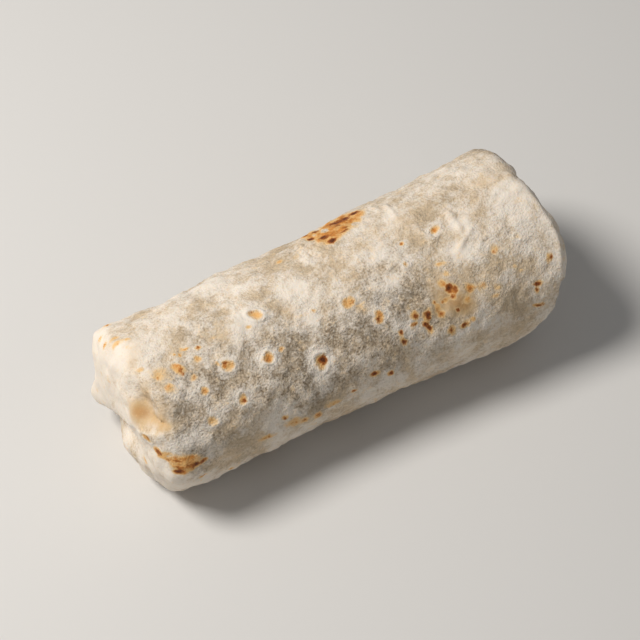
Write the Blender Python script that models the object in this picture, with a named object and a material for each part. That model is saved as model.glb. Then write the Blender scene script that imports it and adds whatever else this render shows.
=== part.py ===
"""A whole burrito in a flour tortilla, lying on its side: one closed solid.

Units are metres, +Z is up, and the roll lies along X. The origin is on the ground, under the middle of
the solid's box. A point of the skin has two coordinates: t along the roll, from -1 at the middle of the
-X end, through 0 and 1 at the two ends of the straight part, to 2 at the middle of the +X end; and v, the
angle round the roll in degrees, from 0 at +Y through 90 at the top.
"""

from typing import NamedTuple

import bmesh
import bpy
import numpy as np

# The roll
LEFT_END_X = -0.0912
RIGHT_END_X = 0.0889
LEFT_HALF_WIDTH = 0.0353
RIGHT_HALF_WIDTH = 0.0388
WIDENS_FROM_X = -0.029
WIDENS_TO_X = 0.097
HEIGHT_SHARE = 0.86  # half height over half width
UNDERSIDE_SINK = 0.004  # how far the lower half would reach below the ground if it weren't flattened there

# The rounding of the two ends: its depth along X, and a superellipse exponent, where more is squarer.
# One corner of each end is squarer than the rest, until CORNER_FADES of the way to the end's middle.
END_DEPTH = 0.013
LEFT_ROUNDING = 2.6
LEFT_CORNER_ROUNDING = 3.9
LEFT_CORNER_ANGLE = 21.5
LEFT_CORNER_SPREAD = 31.0
RIGHT_ROUNDING = 3.4
RIGHT_CORNER_ROUNDING = 6.9
RIGHT_CORNER_ANGLE = 112.0
RIGHT_CORNER_SPREAD = 49.0
CORNER_FADES = 0.6

# The +X end stands back at its top, and further at its lower flap
TOP_SETBACK = 0.0045
TOP_ANGLE = 87.0
TOP_SPREAD = 26.7
LOWER_FLAP_SETBACK = 0.0110
LOWER_FLAP_ANGLE = 206.5
LOWER_FLAP_SPREAD = 39.0

# The tortilla's free edge, a step that runs along the roll and fades out on the ends
SHEET = 0.0018  # thickness of the tortilla
SEAM_EDGE = 7.0  # degrees round the roll that the step takes
SEAM_RUN_OUT = 75.0
SEAM_FADES = 0.6

# The filling's lumps: waves along the roll crossed with waves round it, long ones and short ones
LUMP_HEIGHT = 0.0007
LONG_WAVE = 0.0125
LONG_PHASE = 2.07
LONG_BEND = 1.7
LONG_COUNT_ROUND = 3
LONG_TWIST = 0.031
SHORT_SHARE = 0.5
SHORT_WAVE = 0.0068
SHORT_PHASE = 5.11
SHORT_BEND = 2.1
SHORT_COUNT_ROUND = 5
SHORT_TWIST = 0.019
LUMPS_FADE_FROM = 0.2
LUMPS_FADE_TO = 0.9


class Swell(NamedTuple):
    """A rise on an end, or a dip if its height is less than 0, placed along and across the fold's line."""

    height: float
    along: float
    along_spread: float
    across: float
    across_spread: float

    def at(self, along, across):
        return (
            self.height
            * hill(along, self.along, self.along_spread)
            * hill(across, self.across, self.across_spread)
        )


# The fold across each end. Its line crosses the end at this angle, and distances from that line, and
# along it, are shares of END_REACH, the way from the middle of the end to the straight part.
END_REACH = 0.036
FOLDS_FADE_FROM = 0.75
FOLDS_FADE_TO = 1.15

# The -X end, where an upper flap comes down over a lower one. Its back is pulled in, and its lobe sticks out.
LEFT_FOLD_ANGLE = 140.0
LEFT_FLAP_FROM = -0.05
LEFT_FLAP_TO = 0.12
FLAP_BACK_DEPTH = 0.0037
FLAP_BACK_ANGLE = -20.0
FLAP_BACK_SPREAD = 29.5
FLAP_BACK_FROM = 0.17
FLAP_BACK_TO = 0.69
LOBE = Swell(height=0.0068, along=-0.52, along_spread=0.28, across=0.08, across_spread=0.13)
NOTCH = Swell(height=-0.0058, along=-0.25, along_spread=0.36, across=-0.12, across_spread=0.10)
HOLLOW = Swell(height=-0.0044, along=0.54, along_spread=0.20, across=0.22, across_spread=0.15)
CREASE = Swell(height=-0.0014, along=0.82, along_spread=0.16, across=0.12, across_spread=0.07)
RIDGE = Swell(height=0.0012, along=0.50, along_spread=0.40, across=-0.02, across_spread=0.07)
LOWER_FLAP = Swell(height=0.0012, along=-0.36, along_spread=0.36, across=-0.38, across_spread=0.20)

# The +X end, where an upper flap comes down over two lower ones, and one of those over the other
RIGHT_FOLD_ANGLE = 158.0
RIGHT_FLAP_FROM = -0.05
RIGHT_FLAP_TO = 0.06
RIGHT_FLAP_HEIGHT = 0.0016
RIGHT_FLAP_ALONG = 0.1
RIGHT_FLAP_SPREAD = 0.9
RIGHT_NOTCH = Swell(height=-0.0034, along=0.0, along_spread=0.50, across=-0.06, across_spread=0.11)
LOWER_FOLD_ANGLE = 246.0
LOWER_FOLD_FROM = 0.05
LOWER_FOLD_TO = 0.30
LOWER_FOLD_HEIGHT = 0.0018
LOWER_NOTCH = Swell(height=-0.0016, along=0.30, along_spread=0.40, across=-0.07, across_spread=0.12)
FLAP_PILLOWS = (
    Swell(height=0.0008, along=-0.20, along_spread=0.35, across=0.35, across_spread=0.24),
    Swell(height=0.0012, along=0.42, along_spread=0.25, across=-0.40, across_spread=0.20),
    Swell(height=0.0012, along=-0.42, along_spread=0.26, across=-0.38, across_spread=0.22),
)
PILLOWS_FADE_FROM = 0.30
PILLOWS_FADE_TO = 0.66
MIDDLE_DEPTH = 0.0042
MIDDLE_SPREAD = 0.24

# The mesh
RINGS_IN_END = 13
RINGS_IN_BODY = 34
POINTS_ROUND = 66
NEARBY_T = 1e-3  # distances over which the skin's slope is taken
NEARBY_V = 0.2

TORTILLA_COLOUR = (0.78, 0.70, 0.58, 1.0)
TORTILLA_ROUGHNESS = 0.75


def step(value, start, end):
    """0 below start, 1 above end, and a smooth rise between."""
    share = np.clip((value - start) / (end - start), 0.0, 1.0)
    return share * share * (3.0 - 2.0 * share)


def hill(value, middle, spread):
    """1 at the middle, falling away smoothly on both sides."""
    return np.exp(-(((value - middle) / spread) ** 2))


def turned(v, middle):
    """The angle from middle to v, between -180 and 180."""
    return (v - middle + 180.0) % 360.0 - 180.0


def hill_round(v, middle, spread):
    """The same as hill for an angle round the roll."""
    return hill(turned(v, middle), 0.0, spread)


def half_width(x):
    widening = step(x, WIDENS_FROM_X, WIDENS_TO_X)
    return LEFT_HALF_WIDTH + (RIGHT_HALF_WIDTH - LEFT_HALF_WIDTH) * widening


def end_profile(amount, rounding):
    """Share of the radius, and share of END_DEPTH, from the straight part (0) to the end's middle (1)."""
    turn = np.clip(amount, 0.0, 1.0) * np.pi / 2
    return np.cos(turn) ** (2 / rounding), np.sin(turn) ** (2 / rounding)


def corner_rounding(t_on_end, v, rounding, corner, corner_angle, corner_spread):
    """The end's superellipse exponent, which is greater at its squarer corner."""
    fade = 1 - step(t_on_end, CORNER_FADES, 1.0)
    return rounding + (corner - rounding) * fade * hill_round(v, corner_angle, corner_spread)


def roll_point(t, v):
    """The roll without its folds and lumps: an oval section, rounded at both ends."""
    left = np.clip(-t, 0, 1)
    right = np.clip(t - 1, 0, 1)
    left_radius, left_depth = end_profile(
        left,
        corner_rounding(
            left, v, LEFT_ROUNDING, LEFT_CORNER_ROUNDING, LEFT_CORNER_ANGLE, LEFT_CORNER_SPREAD
        ),
    )
    right_radius, right_depth = end_profile(
        right,
        corner_rounding(
            right, v, RIGHT_ROUNDING, RIGHT_CORNER_ROUNDING, RIGHT_CORNER_ANGLE, RIGHT_CORNER_SPREAD
        ),
    )
    radius = left_radius * right_radius

    setback = TOP_SETBACK * hill_round(v, TOP_ANGLE, TOP_SPREAD)
    setback = setback + LOWER_FLAP_SETBACK * hill_round(v, LOWER_FLAP_ANGLE, LOWER_FLAP_SPREAD)
    body_start = LEFT_END_X + END_DEPTH
    body_end = RIGHT_END_X - END_DEPTH - setback * right_radius
    x = body_start + np.clip(t, 0, 1) * (body_end - body_start)
    x = x + END_DEPTH * (right_depth - left_depth)

    wide = half_width(x)
    high = HEIGHT_SHARE * wide
    up = np.sin(np.radians(v))
    z = high + np.where(up > 0, high, high + UNDERSIDE_SINK) * up * radius
    return np.stack([x, wide * np.cos(np.radians(v)) * radius, z], axis=-1)


def outward(t, v):
    """The unit vector that points out of the roll."""
    inner_t = np.clip(t, -1 + 2 * NEARBY_T, 2 - 2 * NEARBY_T)
    along = roll_point(inner_t + NEARBY_T, v) - roll_point(inner_t - NEARBY_T, v)
    round_it = roll_point(inner_t, v + NEARBY_V) - roll_point(inner_t, v - NEARBY_V)
    normal = np.cross(round_it, along)
    return normal / np.linalg.norm(normal, axis=-1, keepdims=True)


def fold_coordinates(before_end, v, fold_angle):
    """How far a point is from the end's middle, how far along the fold's line towards fold_angle, and how
    far above that line. On the straight part before_end is less than 0."""
    body_over_end = (RIGHT_END_X - LEFT_END_X - 2 * END_DEPTH) / END_REACH
    from_middle = 1 - np.where(before_end > 0, before_end, before_end * body_over_end)
    along = from_middle * np.cos(np.radians(fold_angle - v))
    across = from_middle * np.sin(np.radians(fold_angle - v))
    return from_middle, along, across


def left_folds(t, v):
    from_middle, along, across = fold_coordinates(-t, v, LEFT_FOLD_ANGLE)
    on_end = 1 - step(from_middle, FOLDS_FADE_FROM, FOLDS_FADE_TO)
    on_flap = step(across, LEFT_FLAP_FROM, LEFT_FLAP_TO)
    flap_back = hill_round(v, FLAP_BACK_ANGLE, FLAP_BACK_SPREAD) * step(
        from_middle, FLAP_BACK_FROM, FLAP_BACK_TO
    )
    flap = on_flap * (LOBE.at(along, across) - FLAP_BACK_DEPTH * flap_back)
    ends_there = flap + NOTCH.at(along, across) + LOWER_FLAP.at(along, across)
    runs_on = HOLLOW.at(along, across) + CREASE.at(along, across) + RIDGE.at(along, across)
    return ends_there * on_end + runs_on


def lower_fold(t, v):
    """The step where one lower flap of the +X end lies over the other."""
    _, along, across = fold_coordinates(t - 1, v, LOWER_FOLD_ANGLE)
    starts = step(along, LOWER_FOLD_FROM, LOWER_FOLD_TO)
    flap = step(across, RIGHT_FLAP_FROM, RIGHT_FLAP_TO) * hill(across, 0.0, RIGHT_FLAP_SPREAD / 2)
    return LOWER_FOLD_HEIGHT * starts * flap + LOWER_NOTCH.at(along, across)


def right_folds(t, v):
    from_middle, along, across = fold_coordinates(t - 1, v, RIGHT_FOLD_ANGLE)
    on_end = 1 - step(from_middle, FOLDS_FADE_FROM, FOLDS_FADE_TO)
    inside = 1 - step(from_middle, PILLOWS_FADE_FROM, PILLOWS_FADE_TO)
    on_flap = step(across, RIGHT_FLAP_FROM, RIGHT_FLAP_TO)
    flap = RIGHT_FLAP_HEIGHT * on_flap * hill(along, RIGHT_FLAP_ALONG, RIGHT_FLAP_SPREAD)
    pillows = sum(pillow.at(along, across) for pillow in FLAP_PILLOWS)
    middle = MIDDLE_DEPTH * hill(from_middle, 0.0, MIDDLE_SPREAD)
    crossing = flap + RIGHT_NOTCH.at(along, across) + lower_fold(t, v) * (1 - on_flap)
    return crossing * on_end + pillows * inside - middle


def seam(t, v):
    """The step down from the tortilla's free edge to the turn below it, which runs out towards the base.
    The edge lies low on the far side, and joins the ends of the two folds."""
    edge = 180.0 + LEFT_FOLD_ANGLE + (RIGHT_FOLD_ANGLE - LEFT_FOLD_ANGLE) * np.clip(t, 0, 1)
    below_edge = (edge - v) % 360.0
    depth = step(below_edge, 0.0, SEAM_EDGE) * (1 - step(below_edge, SEAM_EDGE, SEAM_RUN_OUT))
    return -SHEET * depth * (1 - step(-t, 0.0, SEAM_FADES)) * (1 - step(t - 1, 0.0, SEAM_FADES))


def lumps(t, v, x):
    """The filling's soft lumps, which fade out towards the middle of each end."""
    turn = np.radians(v)
    long_waves = np.sin(x / LONG_WAVE + LONG_PHASE + LONG_BEND * np.sin(2 * turn))
    long_waves = long_waves * np.cos(LONG_COUNT_ROUND * turn + x / LONG_TWIST)
    short_waves = np.sin(x / SHORT_WAVE + SHORT_PHASE - SHORT_BEND * np.cos(turn))
    short_waves = short_waves * np.sin(SHORT_COUNT_ROUND * turn - x / SHORT_TWIST)
    fade = 1 - step(-t, LUMPS_FADE_FROM, LUMPS_FADE_TO) - step(t - 1, LUMPS_FADE_FROM, LUMPS_FADE_TO)
    return LUMP_HEIGHT * fade * (long_waves + SHORT_SHARE * short_waves)


def skin_point(t, v):
    base = roll_point(t, v)
    height = lumps(t, v, base[..., 0]) + seam(t, v) + left_folds(t, v) + right_folds(t, v)
    point = base + outward(t, v) * height[..., None]
    point[..., 2] = np.maximum(point[..., 2], 0.0)
    return point


def ring_positions():
    """The value of t at each ring, without the two end points."""
    end = (np.arange(1, RINGS_IN_END) / RINGS_IN_END)[::-1]
    body = np.linspace(0, 1, RINGS_IN_BODY)
    return np.concatenate([-end, body, 1 + end[::-1]])


def build_mesh():
    t, v = np.meshgrid(
        ring_positions(), np.arange(POINTS_ROUND) * 360.0 / POINTS_ROUND, indexing="ij"
    )
    rings = skin_point(t, v)
    tips = [skin_point(np.array(end), np.array(0.0)) for end in (-1.0, 2.0)]
    everything = np.concatenate([rings.reshape(-1, 3), tips])
    middle = (everything.min(axis=0) + everything.max(axis=0)) / 2
    shift = np.array([-middle[0], -middle[1], 0.0])

    mesh = bmesh.new()
    grid = [[mesh.verts.new(point) for point in ring + shift] for ring in rings]
    left_tip, right_tip = (mesh.verts.new(tip + shift) for tip in tips)
    for i in range(POINTS_ROUND):
        j = (i + 1) % POINTS_ROUND
        mesh.faces.new((left_tip, grid[0][j], grid[0][i]))
        mesh.faces.new((right_tip, grid[-1][i], grid[-1][j]))
        for ring, following in zip(grid, grid[1:]):
            mesh.faces.new((ring[i], ring[j], following[j], following[i]))
    bmesh.ops.triangulate(mesh, faces=mesh.faces)
    bmesh.ops.recalc_face_normals(mesh, faces=mesh.faces)
    return mesh


def tortilla_material():
    material = bpy.data.materials.new("tortilla")
    material.use_nodes = True
    shader = material.node_tree.nodes["Principled BSDF"]
    shader.inputs["Base Color"].default_value = TORTILLA_COLOUR
    shader.inputs["Roughness"].default_value = TORTILLA_ROUGHNESS
    shader.inputs["Metallic"].default_value = 0.0
    return material


def build_burrito():
    data = bpy.data.meshes.new("burrito")
    mesh = build_mesh()
    mesh.to_mesh(data)
    mesh.free()
    data.shade_smooth()
    data.materials.append(tortilla_material())
    burrito = bpy.data.objects.new("burrito", data)
    bpy.context.scene.collection.objects.link(burrito)


for existing in list(bpy.data.objects):
    bpy.data.objects.remove(existing)
build_burrito()
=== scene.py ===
"""A whole burrito in a griddled flour tortilla, lying on its side, and a stage for it.

Lengths are metres, +Z is up, and the roll lies along X. A point of the skin has two coordinates: t along
the roll, from -1 at the middle of the -X end, through 0 and 1 at the two ends of the straight part, to 2 at
the middle of the +X end; and v, the angle round the roll in degrees, from 0 at +Y through 90 at the top.
"""

from typing import NamedTuple

import bpy
import numpy as np
from bpy.props import FloatProperty, FloatVectorProperty, IntProperty, PointerProperty
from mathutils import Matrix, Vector


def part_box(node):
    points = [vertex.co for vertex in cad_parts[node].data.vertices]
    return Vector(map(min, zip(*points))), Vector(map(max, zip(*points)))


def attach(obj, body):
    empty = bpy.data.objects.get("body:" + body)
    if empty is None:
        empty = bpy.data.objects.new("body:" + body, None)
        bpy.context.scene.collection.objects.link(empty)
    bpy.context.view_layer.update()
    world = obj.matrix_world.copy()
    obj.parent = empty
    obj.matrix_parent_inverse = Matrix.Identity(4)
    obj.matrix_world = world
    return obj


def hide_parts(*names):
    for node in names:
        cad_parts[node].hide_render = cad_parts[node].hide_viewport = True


bl_info = {
    "name": "Griddled Burrito",
    "version": (1, 0, 0),
    "blender": (4, 5, 0),
    "location": "3D View > Sidebar > Burrito",
    "description": "Builds a whole burrito in a griddled flour tortilla, and a stage for it",
    "category": "Object",
}

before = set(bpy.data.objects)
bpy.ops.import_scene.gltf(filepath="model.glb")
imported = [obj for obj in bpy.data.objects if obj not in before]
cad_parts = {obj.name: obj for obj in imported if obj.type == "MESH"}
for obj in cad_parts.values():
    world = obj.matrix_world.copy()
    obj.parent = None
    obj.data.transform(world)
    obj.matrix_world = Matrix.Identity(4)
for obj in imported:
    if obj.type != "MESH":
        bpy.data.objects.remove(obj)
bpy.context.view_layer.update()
NODE = "burrito"
MM = 0.001

# The roll
LEFT_END_X = -0.0912
RIGHT_END_X = 0.0889
LEFT_HALF_WIDTH = 0.0353
RIGHT_HALF_WIDTH = 0.0388
WIDENS_FROM_X = -0.029
WIDENS_TO_X = 0.097
HEIGHT_SHARE = 0.86  # half height over half width
UNDERSIDE_SINK = 0.004  # how far the lower half would reach below the ground if it weren't flattened there

# The rounding of the two ends: its depth along X, and a superellipse exponent, where more is squarer.
# One corner of each end is squarer than the rest, until CORNER_FADES of the way to the end's middle.
END_DEPTH = 0.013
LEFT_ROUNDING = 2.6
LEFT_CORNER_ROUNDING = 3.9
LEFT_CORNER_ANGLE = 21.5
LEFT_CORNER_SPREAD = 31.0
RIGHT_ROUNDING = 3.4
RIGHT_CORNER_ROUNDING = 6.9
RIGHT_CORNER_ANGLE = 112.0
RIGHT_CORNER_SPREAD = 49.0
CORNER_FADES = 0.6

# The +X end stands back at its top, and further at its lower flap
TOP_SETBACK = 0.0045
TOP_ANGLE = 87.0
TOP_SPREAD = 26.7
LOWER_FLAP_SETBACK = 0.0110
LOWER_FLAP_ANGLE = 206.5
LOWER_FLAP_SPREAD = 39.0

# The tortilla's free edge, a step that runs along the roll and fades out on the ends
SHEET = 0.0018  # thickness of the tortilla
SEAM_EDGE = 2.4  # degrees round the roll that the step takes
SEAM_RUN_OUT = 75.0
SEAM_FADES = 0.6

# The filling's lumps: waves along the roll crossed with waves round it, long ones and short ones
LUMP_HEIGHT = 0.0007
LONG_WAVE = 0.0125
LONG_PHASE = 2.07
LONG_BEND = 1.7
LONG_COUNT_ROUND = 3
LONG_TWIST = 0.031
SHORT_SHARE = 0.5
SHORT_WAVE = 0.0068
SHORT_PHASE = 5.11
SHORT_BEND = 2.1
SHORT_COUNT_ROUND = 5
SHORT_TWIST = 0.019
LUMPS_FADE_FROM = 0.2
LUMPS_FADE_TO = 0.9


class Swell(NamedTuple):
    """A rise on an end, or a dip if its height is less than 0, placed along and across the fold's line."""

    height: float
    along: float
    along_spread: float
    across: float
    across_spread: float

    def at(self, along, across):
        return (
            self.height
            * hill(along, self.along, self.along_spread)
            * hill(across, self.across, self.across_spread)
        )


# The fold across each end. Its line crosses the end at this angle, and distances from that line, and
# along it, are shares of END_REACH, the way from the middle of the end to the straight part.
END_REACH = 0.036
FOLDS_FADE_FROM = 0.75
FOLDS_FADE_TO = 1.15

# The -X end, where an upper flap comes down over a lower one. Its back is pulled in, and its lobe sticks out.
LEFT_FOLD_ANGLE = 140.0
LEFT_FLAP_FROM = -0.02
LEFT_FLAP_TO = 0.05
FLAP_BACK_DEPTH = 0.0037
FLAP_BACK_ANGLE = -20.0
FLAP_BACK_SPREAD = 29.5
FLAP_BACK_FROM = 0.17
FLAP_BACK_TO = 0.69
LOBE = Swell(height=0.0068, along=-0.52, along_spread=0.28, across=0.08, across_spread=0.13)
NOTCH = Swell(height=-0.0058, along=-0.25, along_spread=0.36, across=-0.12, across_spread=0.10)
HOLLOW = Swell(height=-0.0044, along=0.54, along_spread=0.20, across=0.22, across_spread=0.15)
CREASE = Swell(height=-0.0014, along=0.82, along_spread=0.16, across=0.12, across_spread=0.07)
RIDGE = Swell(height=0.0012, along=0.50, along_spread=0.40, across=-0.02, across_spread=0.07)
LOWER_FLAP = Swell(height=0.0012, along=-0.36, along_spread=0.36, across=-0.38, across_spread=0.20)

# The +X end, where an upper flap comes down over two lower ones, and one of those over the other. Pleats
# run out over the upper flap from the middle, each at an angle that turns as it goes.
RIGHT_FOLD_ANGLE = 158.0
RIGHT_FLAP_FROM = -0.03
RIGHT_FLAP_TO = 0.04
RIGHT_FLAP_HEIGHT = 0.0016
RIGHT_FLAP_ALONG = 0.1
RIGHT_FLAP_SPREAD = 0.9
RIGHT_NOTCH = Swell(height=-0.0034, along=0.0, along_spread=0.50, across=-0.06, across_spread=0.11)
LOWER_FOLD_ANGLE = 246.0
LOWER_FOLD_FROM = 0.05
LOWER_FOLD_TO = 0.30
LOWER_FOLD_HEIGHT = 0.0018
LOWER_NOTCH = Swell(height=-0.0016, along=0.30, along_spread=0.40, across=-0.07, across_spread=0.12)
FLAP_PILLOWS = (
    Swell(height=0.0008, along=-0.20, along_spread=0.35, across=0.35, across_spread=0.24),
    Swell(height=0.0012, along=0.42, along_spread=0.25, across=-0.40, across_spread=0.20),
    Swell(height=0.0012, along=-0.42, along_spread=0.26, across=-0.38, across_spread=0.22),
)
END_PLEAT_ANGLES = (2.0, 34.0, 63.0, 96.0, 124.0)
END_PLEAT_HEIGHT = 0.0010
END_PLEAT_WIDTH = 0.062
END_PLEAT_TURN = 26.0
END_PLEAT_FROM = 0.06
END_PLEAT_TO = 0.34
END_PLEAT_FADES = 0.52
END_PLEAT_ABOVE_FOLD = (RIGHT_FLAP_TO, 3 * RIGHT_FLAP_TO)
PILLOWS_FADE_FROM = 0.30
PILLOWS_FADE_TO = 0.66
MIDDLE_DEPTH = 0.0042
MIDDLE_SPREAD = 0.24

# How the skin laps over itself at the free edge and at the ends' folds
LAP = 1.35
LAP_WIDTH = 0.0016
LAP_FADES_FROM = 0.0
LAP_FADES_TO = 0.35
LAP_FADE = 0.5  # share of the lap that is gone there
MIDDLE_LAP_FROM = 0.06
MIDDLE_LAP_TO = 0.30

NEARBY_T = 1e-3  # distances over which the skin's slope is taken
NEARBY_V = 0.2


class Spot(NamedTuple):
    """A toasted spot: where it is, its half length and half width in millimetres, how golden it is, how
    brown its middle is, how pale a rim stands round it, and its turn in degrees from the roll's length."""

    t: float
    v: float
    length: float
    width: float
    gold: float
    brown: float
    rim: float = 0.0
    turn: float = 0.0


class Patch(NamedTuple):
    """A soft patch of skin: where it is, its size in millimetres, and its strength."""

    t: float
    v: float
    size: float
    strength: float


class Pleat(NamedTuple):
    """A ridge in the skin: the (t, v) points that it passes, and its height and half width in millimetres."""

    points: tuple
    height: float
    width: float


# Blisters, most with a pale rim, on the upper near side
RIM_BLISTERS = (
    Spot(0.385, 139, 2.4, 2.9, 1.0, 1.25, 1.0),
    Spot(0.267, 122, 2.1, 2.0, 0.95, 0.42, 1.0),
    Spot(0.168, 116, 2.3, 2.0, 0.9, 0.38, 0.7),
    Spot(0.168, 139, 1.8, 2.0, 0.9, 0.7, 0.7),
    Spot(0.086, 124, 1.7, 1.7, 1.0, 0.75, 0.6),
    Spot(0.076, 144, 1.9, 2.4, 0.7, 0.2, 0.6, turn=70),
    Spot(0.108, 104, 1.5, 1.4, 0.9, 0.8, 0.2),
    Spot(0.294, 94, 2.8, 1.8, 0.95, 0.6, 1.0, turn=30),
    Spot(0.511, 112, 2.4, 2.5, 1.0, 0.55, 0.6),
    Spot(0.562, 128, 1.9, 2.4, 1.1, 0.85, 0.5),
    Spot(0.814, 93, 1.4, 2.3, 0.75, 0.12, 0.65, turn=60),
    Spot(0.803, 136, 2.1, 2.3, 1.0, 0.55, 0.15),
    Spot(0.721, 92, 1.3, 0.8, 0.7, 0.4, 0.7),
    Spot(0.766, 114, 2.2, 1.2, 0.6, 0.1, 0.3, turn=20),
    Spot(0.973, 120, 1.3, 1.3, 0.4, 0.0, 0.6),
    Spot(0.691, 106, 1.0, 1.2, 0.5, 0.1, 0.6),
)
# Small golden flecks round the blisters and at the near corner
SMALL_SPOTS = (
    Spot(0.055, 105, 2.7, 1.9, 1.1, 0.6, 0.2, turn=50),
    Spot(0.077, 96, 0.9, 0.7, 0.9, 0.55),
    Spot(0.064, 94, 0.8, 0.6, 0.8, 0.25),
    Spot(0.098, 95, 1.5, 0.7, 0.9, 0.5),
    Spot(0.125, 98, 0.9, 0.6, 0.8, 0.5),
    Spot(0.086, 94, 0.8, 0.8, 0.6, 0.2),
    Spot(0.079, 114, 1.2, 1.4, 0.6, 0.55, turn=40),
    Spot(0.147, 112, 1.1, 1.1, 0.8, 0.45),
    Spot(0.007, 103, 3.4, 2.7, 0.62, 0.05),
    Spot(0.014, 114, 1.9, 2.0, 0.65, 0.05, 0.3),
    Spot(-0.157, 94, 1.8, 1.1, 0.6, 0.05),
    Spot(0.305, 120, 0.9, 1.4, 0.7, 0.35, 0.5, turn=60),
    Spot(0.261, 100, 0.9, 0.9, 0.7, 0.35, 0.3),
    Spot(0.171, 96, 1.3, 0.8, 0.4, 0.1),
    Spot(0.425, 107, 0.9, 0.9, 0.6, 0.25, 0.5),
    Spot(0.43, 58, 1.4, 1.0, 0.7, 0.6, turn=20),
    Spot(0.471, 63, 2.0, 1.6, 0.4, 0.0, turn=10),
    Spot(0.531, 118, 2.4, 2.6, 0.35, 0.0, turn=60),
    Spot(0.903, 120, 2.4, 2.0, 0.5, 0.05, 0.2, turn=30),
    Spot(0.931, 135, 1.8, 1.0, 0.5, 0.15, turn=70),
    Spot(0.945, 139, 1.4, 0.9, 0.45, 0.1),
    Spot(0.834, 138, 2.2, 1.9, 0.4, 0.0),
    Spot(0.871, 142, 1.7, 1.3, 0.6, 0.2, turn=20),
    Spot(0.86, 147, 1.6, 0.9, 0.5, 0.2),
    Spot(-0.044, 34, 2.0, 1.0, 0.9, 0.55, turn=40),
    Spot(-0.346, 43, 1.7, 0.9, 0.8, 0.25, turn=20),
    Spot(-0.371, 54, 2.1, 0.9, 0.8, 0.2),
    Spot(-0.189, 60, 2.0, 1.4, 0.75, 0.2),
    Spot(-0.208, 67, 2.6, 1.2, 0.7, 0.15, turn=20),
    Spot(-0.075, 69, 1.8, 1.1, 0.65, 0.15, turn=20),
    Spot(0.053, 52, 0.8, 0.7, 0.5, 0.45),
)
# Dark specks round the stain near the +X end, and along the lower near side
SCORCHES = (
    Spot(0.677, 140, 1.8, 2.8, 1.1, 1.49, turn=10),
    Spot(0.668, 145, 1.4, 2.0, 1.0, 1.32),
    Spot(0.674, 150, 1.4, 2.2, 1.0, 1.32),
    Spot(0.647, 137, 1.8, 2.0, 1.0, 0.83),
    Spot(0.64, 142, 1.5, 1.0, 0.9, 0.5),
    Spot(0.6, 144, 1.2, 1.5, 1.0, 1.26),
    Spot(0.602, 150, 1.2, 2.2, 1.0, 1.21),
    Spot(0.755, 131, 2.1, 2.2, 1.1, 1.38, turn=30),
    Spot(0.768, 132, 1.6, 2.0, 1.1, 0.88, 0.2),
    Spot(0.755, 136, 1.5, 1.5, 1.0, 0.94),
    Spot(0.741, 126, 2.0, 1.8, 1.0, 0.55, 0.3),
    Spot(0.766, 122, 1.0, 1.0, 0.7, 0.44, 0.2),
    Spot(0.735, 136, 2.0, 1.5, 0.9, 0.5),
    Spot(0.704, 135, 1.1, 1.5, 0.9, 0.66),
    Spot(0.709, 139, 1.6, 2.0, 1.0, 0.83),
    Spot(0.713, 143, 1.5, 1.9, 0.9, 0.66),
    Spot(0.754, 145, 1.1, 1.1, 0.9, 0.99),
    Spot(0.785, 142, 1.9, 1.9, 0.8, 0.39),
    Spot(0.77, 157, 2.2, 1.6, 1.0, 1.16),
    Spot(0.792, 156, 1.4, 1.2, 0.9, 0.44),
    Spot(0.735, 157, 2.0, 1.9, 0.9, 0.66),
    Spot(1.017, 139, 1.2, 2.2, 1.0, 1.32, turn=10),
    Spot(0.984, 152, 2.2, 1.5, 1.0, 1.38, turn=20),
    Spot(0.979, 156, 1.1, 1.8, 0.9, 1.1),
    Spot(0.989, 168, 2.5, 1.2, 1.0, 1.21, turn=30),
    Spot(0.518, 165, 2.8, 1.8, 1.0, 1.04),
    Spot(0.562, 170, 1.6, 1.8, 0.9, 0.94),
    Spot(0.26, 167, 1.8, 1.5, 0.8, 0.88),
    Spot(0.319, 178, 1.9, 1.6, 0.9, 0.77, 0.2),
    Spot(0.359, 180, 2.2, 1.8, 0.9, 0.66, 0.2),
    Spot(0.29, 176, 4.5, 2.6, 0.6, 0.2, turn=5),
    Spot(0.4, 174, 3.6, 2.0, 0.6, 0.35),
    Spot(0.21, 178, 3.4, 1.8, 0.7, 0.5),
    Spot(0.46, 172, 1.6, 1.0, 0.7, 0.75),
)
# The toasted patch low on the -X end's lower flap, and the flecks beside it
NEAR_END_SPOTS = (
    Spot(-0.579, 147, 2.0, 1.6, 1.0, 0.6, 0.5, turn=20),
    Spot(-0.5, 158, 2.2, 2.0, 1.2, 1.0, turn=40),
    Spot(-0.43, 161, 2.8, 2.0, 1.4, 0.8, turn=-30),
    Spot(-0.36, 163, 2.0, 1.6, 1.1, 0.9),
    Spot(-0.34, 157, 2.6, 1.6, 0.8, 0.2),
    Spot(-0.27, 162, 2.4, 1.4, 0.7, 0.1),
    Spot(-0.704, 203, 1.8, 1.2, 0.6, 0.1),
    Spot(-0.201, 172, 2.6, 1.8, 1.3, 1.3),
    Spot(-0.12, 169, 4.2, 2.2, 1.5, 0.6, turn=10),
    Spot(-0.16, 163, 3.6, 0.8, 1.4, 0.7, turn=15),
    Spot(-0.06, 162, 3.2, 0.7, 1.3, 0.45, turn=20),
    Spot(-0.23, 168, 2.6, 0.8, 1.4, 0.75, turn=25),
    Spot(-0.03, 168, 3.6, 2.0, 1.4, 0.8, turn=10),
    Spot(0.005, 170, 2.4, 1.6, 1.3, 1.25),
    Spot(0.024, 170, 2.4, 1.4, 1.2, 1.1),
    Spot(-0.09, 165, 6.0, 3.6, 1.1, 0.15, turn=10),
    Spot(0.023, 189, 1.6, 1.0, 0.8, 0.6),
    Spot(-0.96, 140, 2.6, 2.0, 0.5, 0.05, turn=90),
    Spot(-0.943, 173, 0.5, 0.4, 0.6, 1.2),
)
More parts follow.
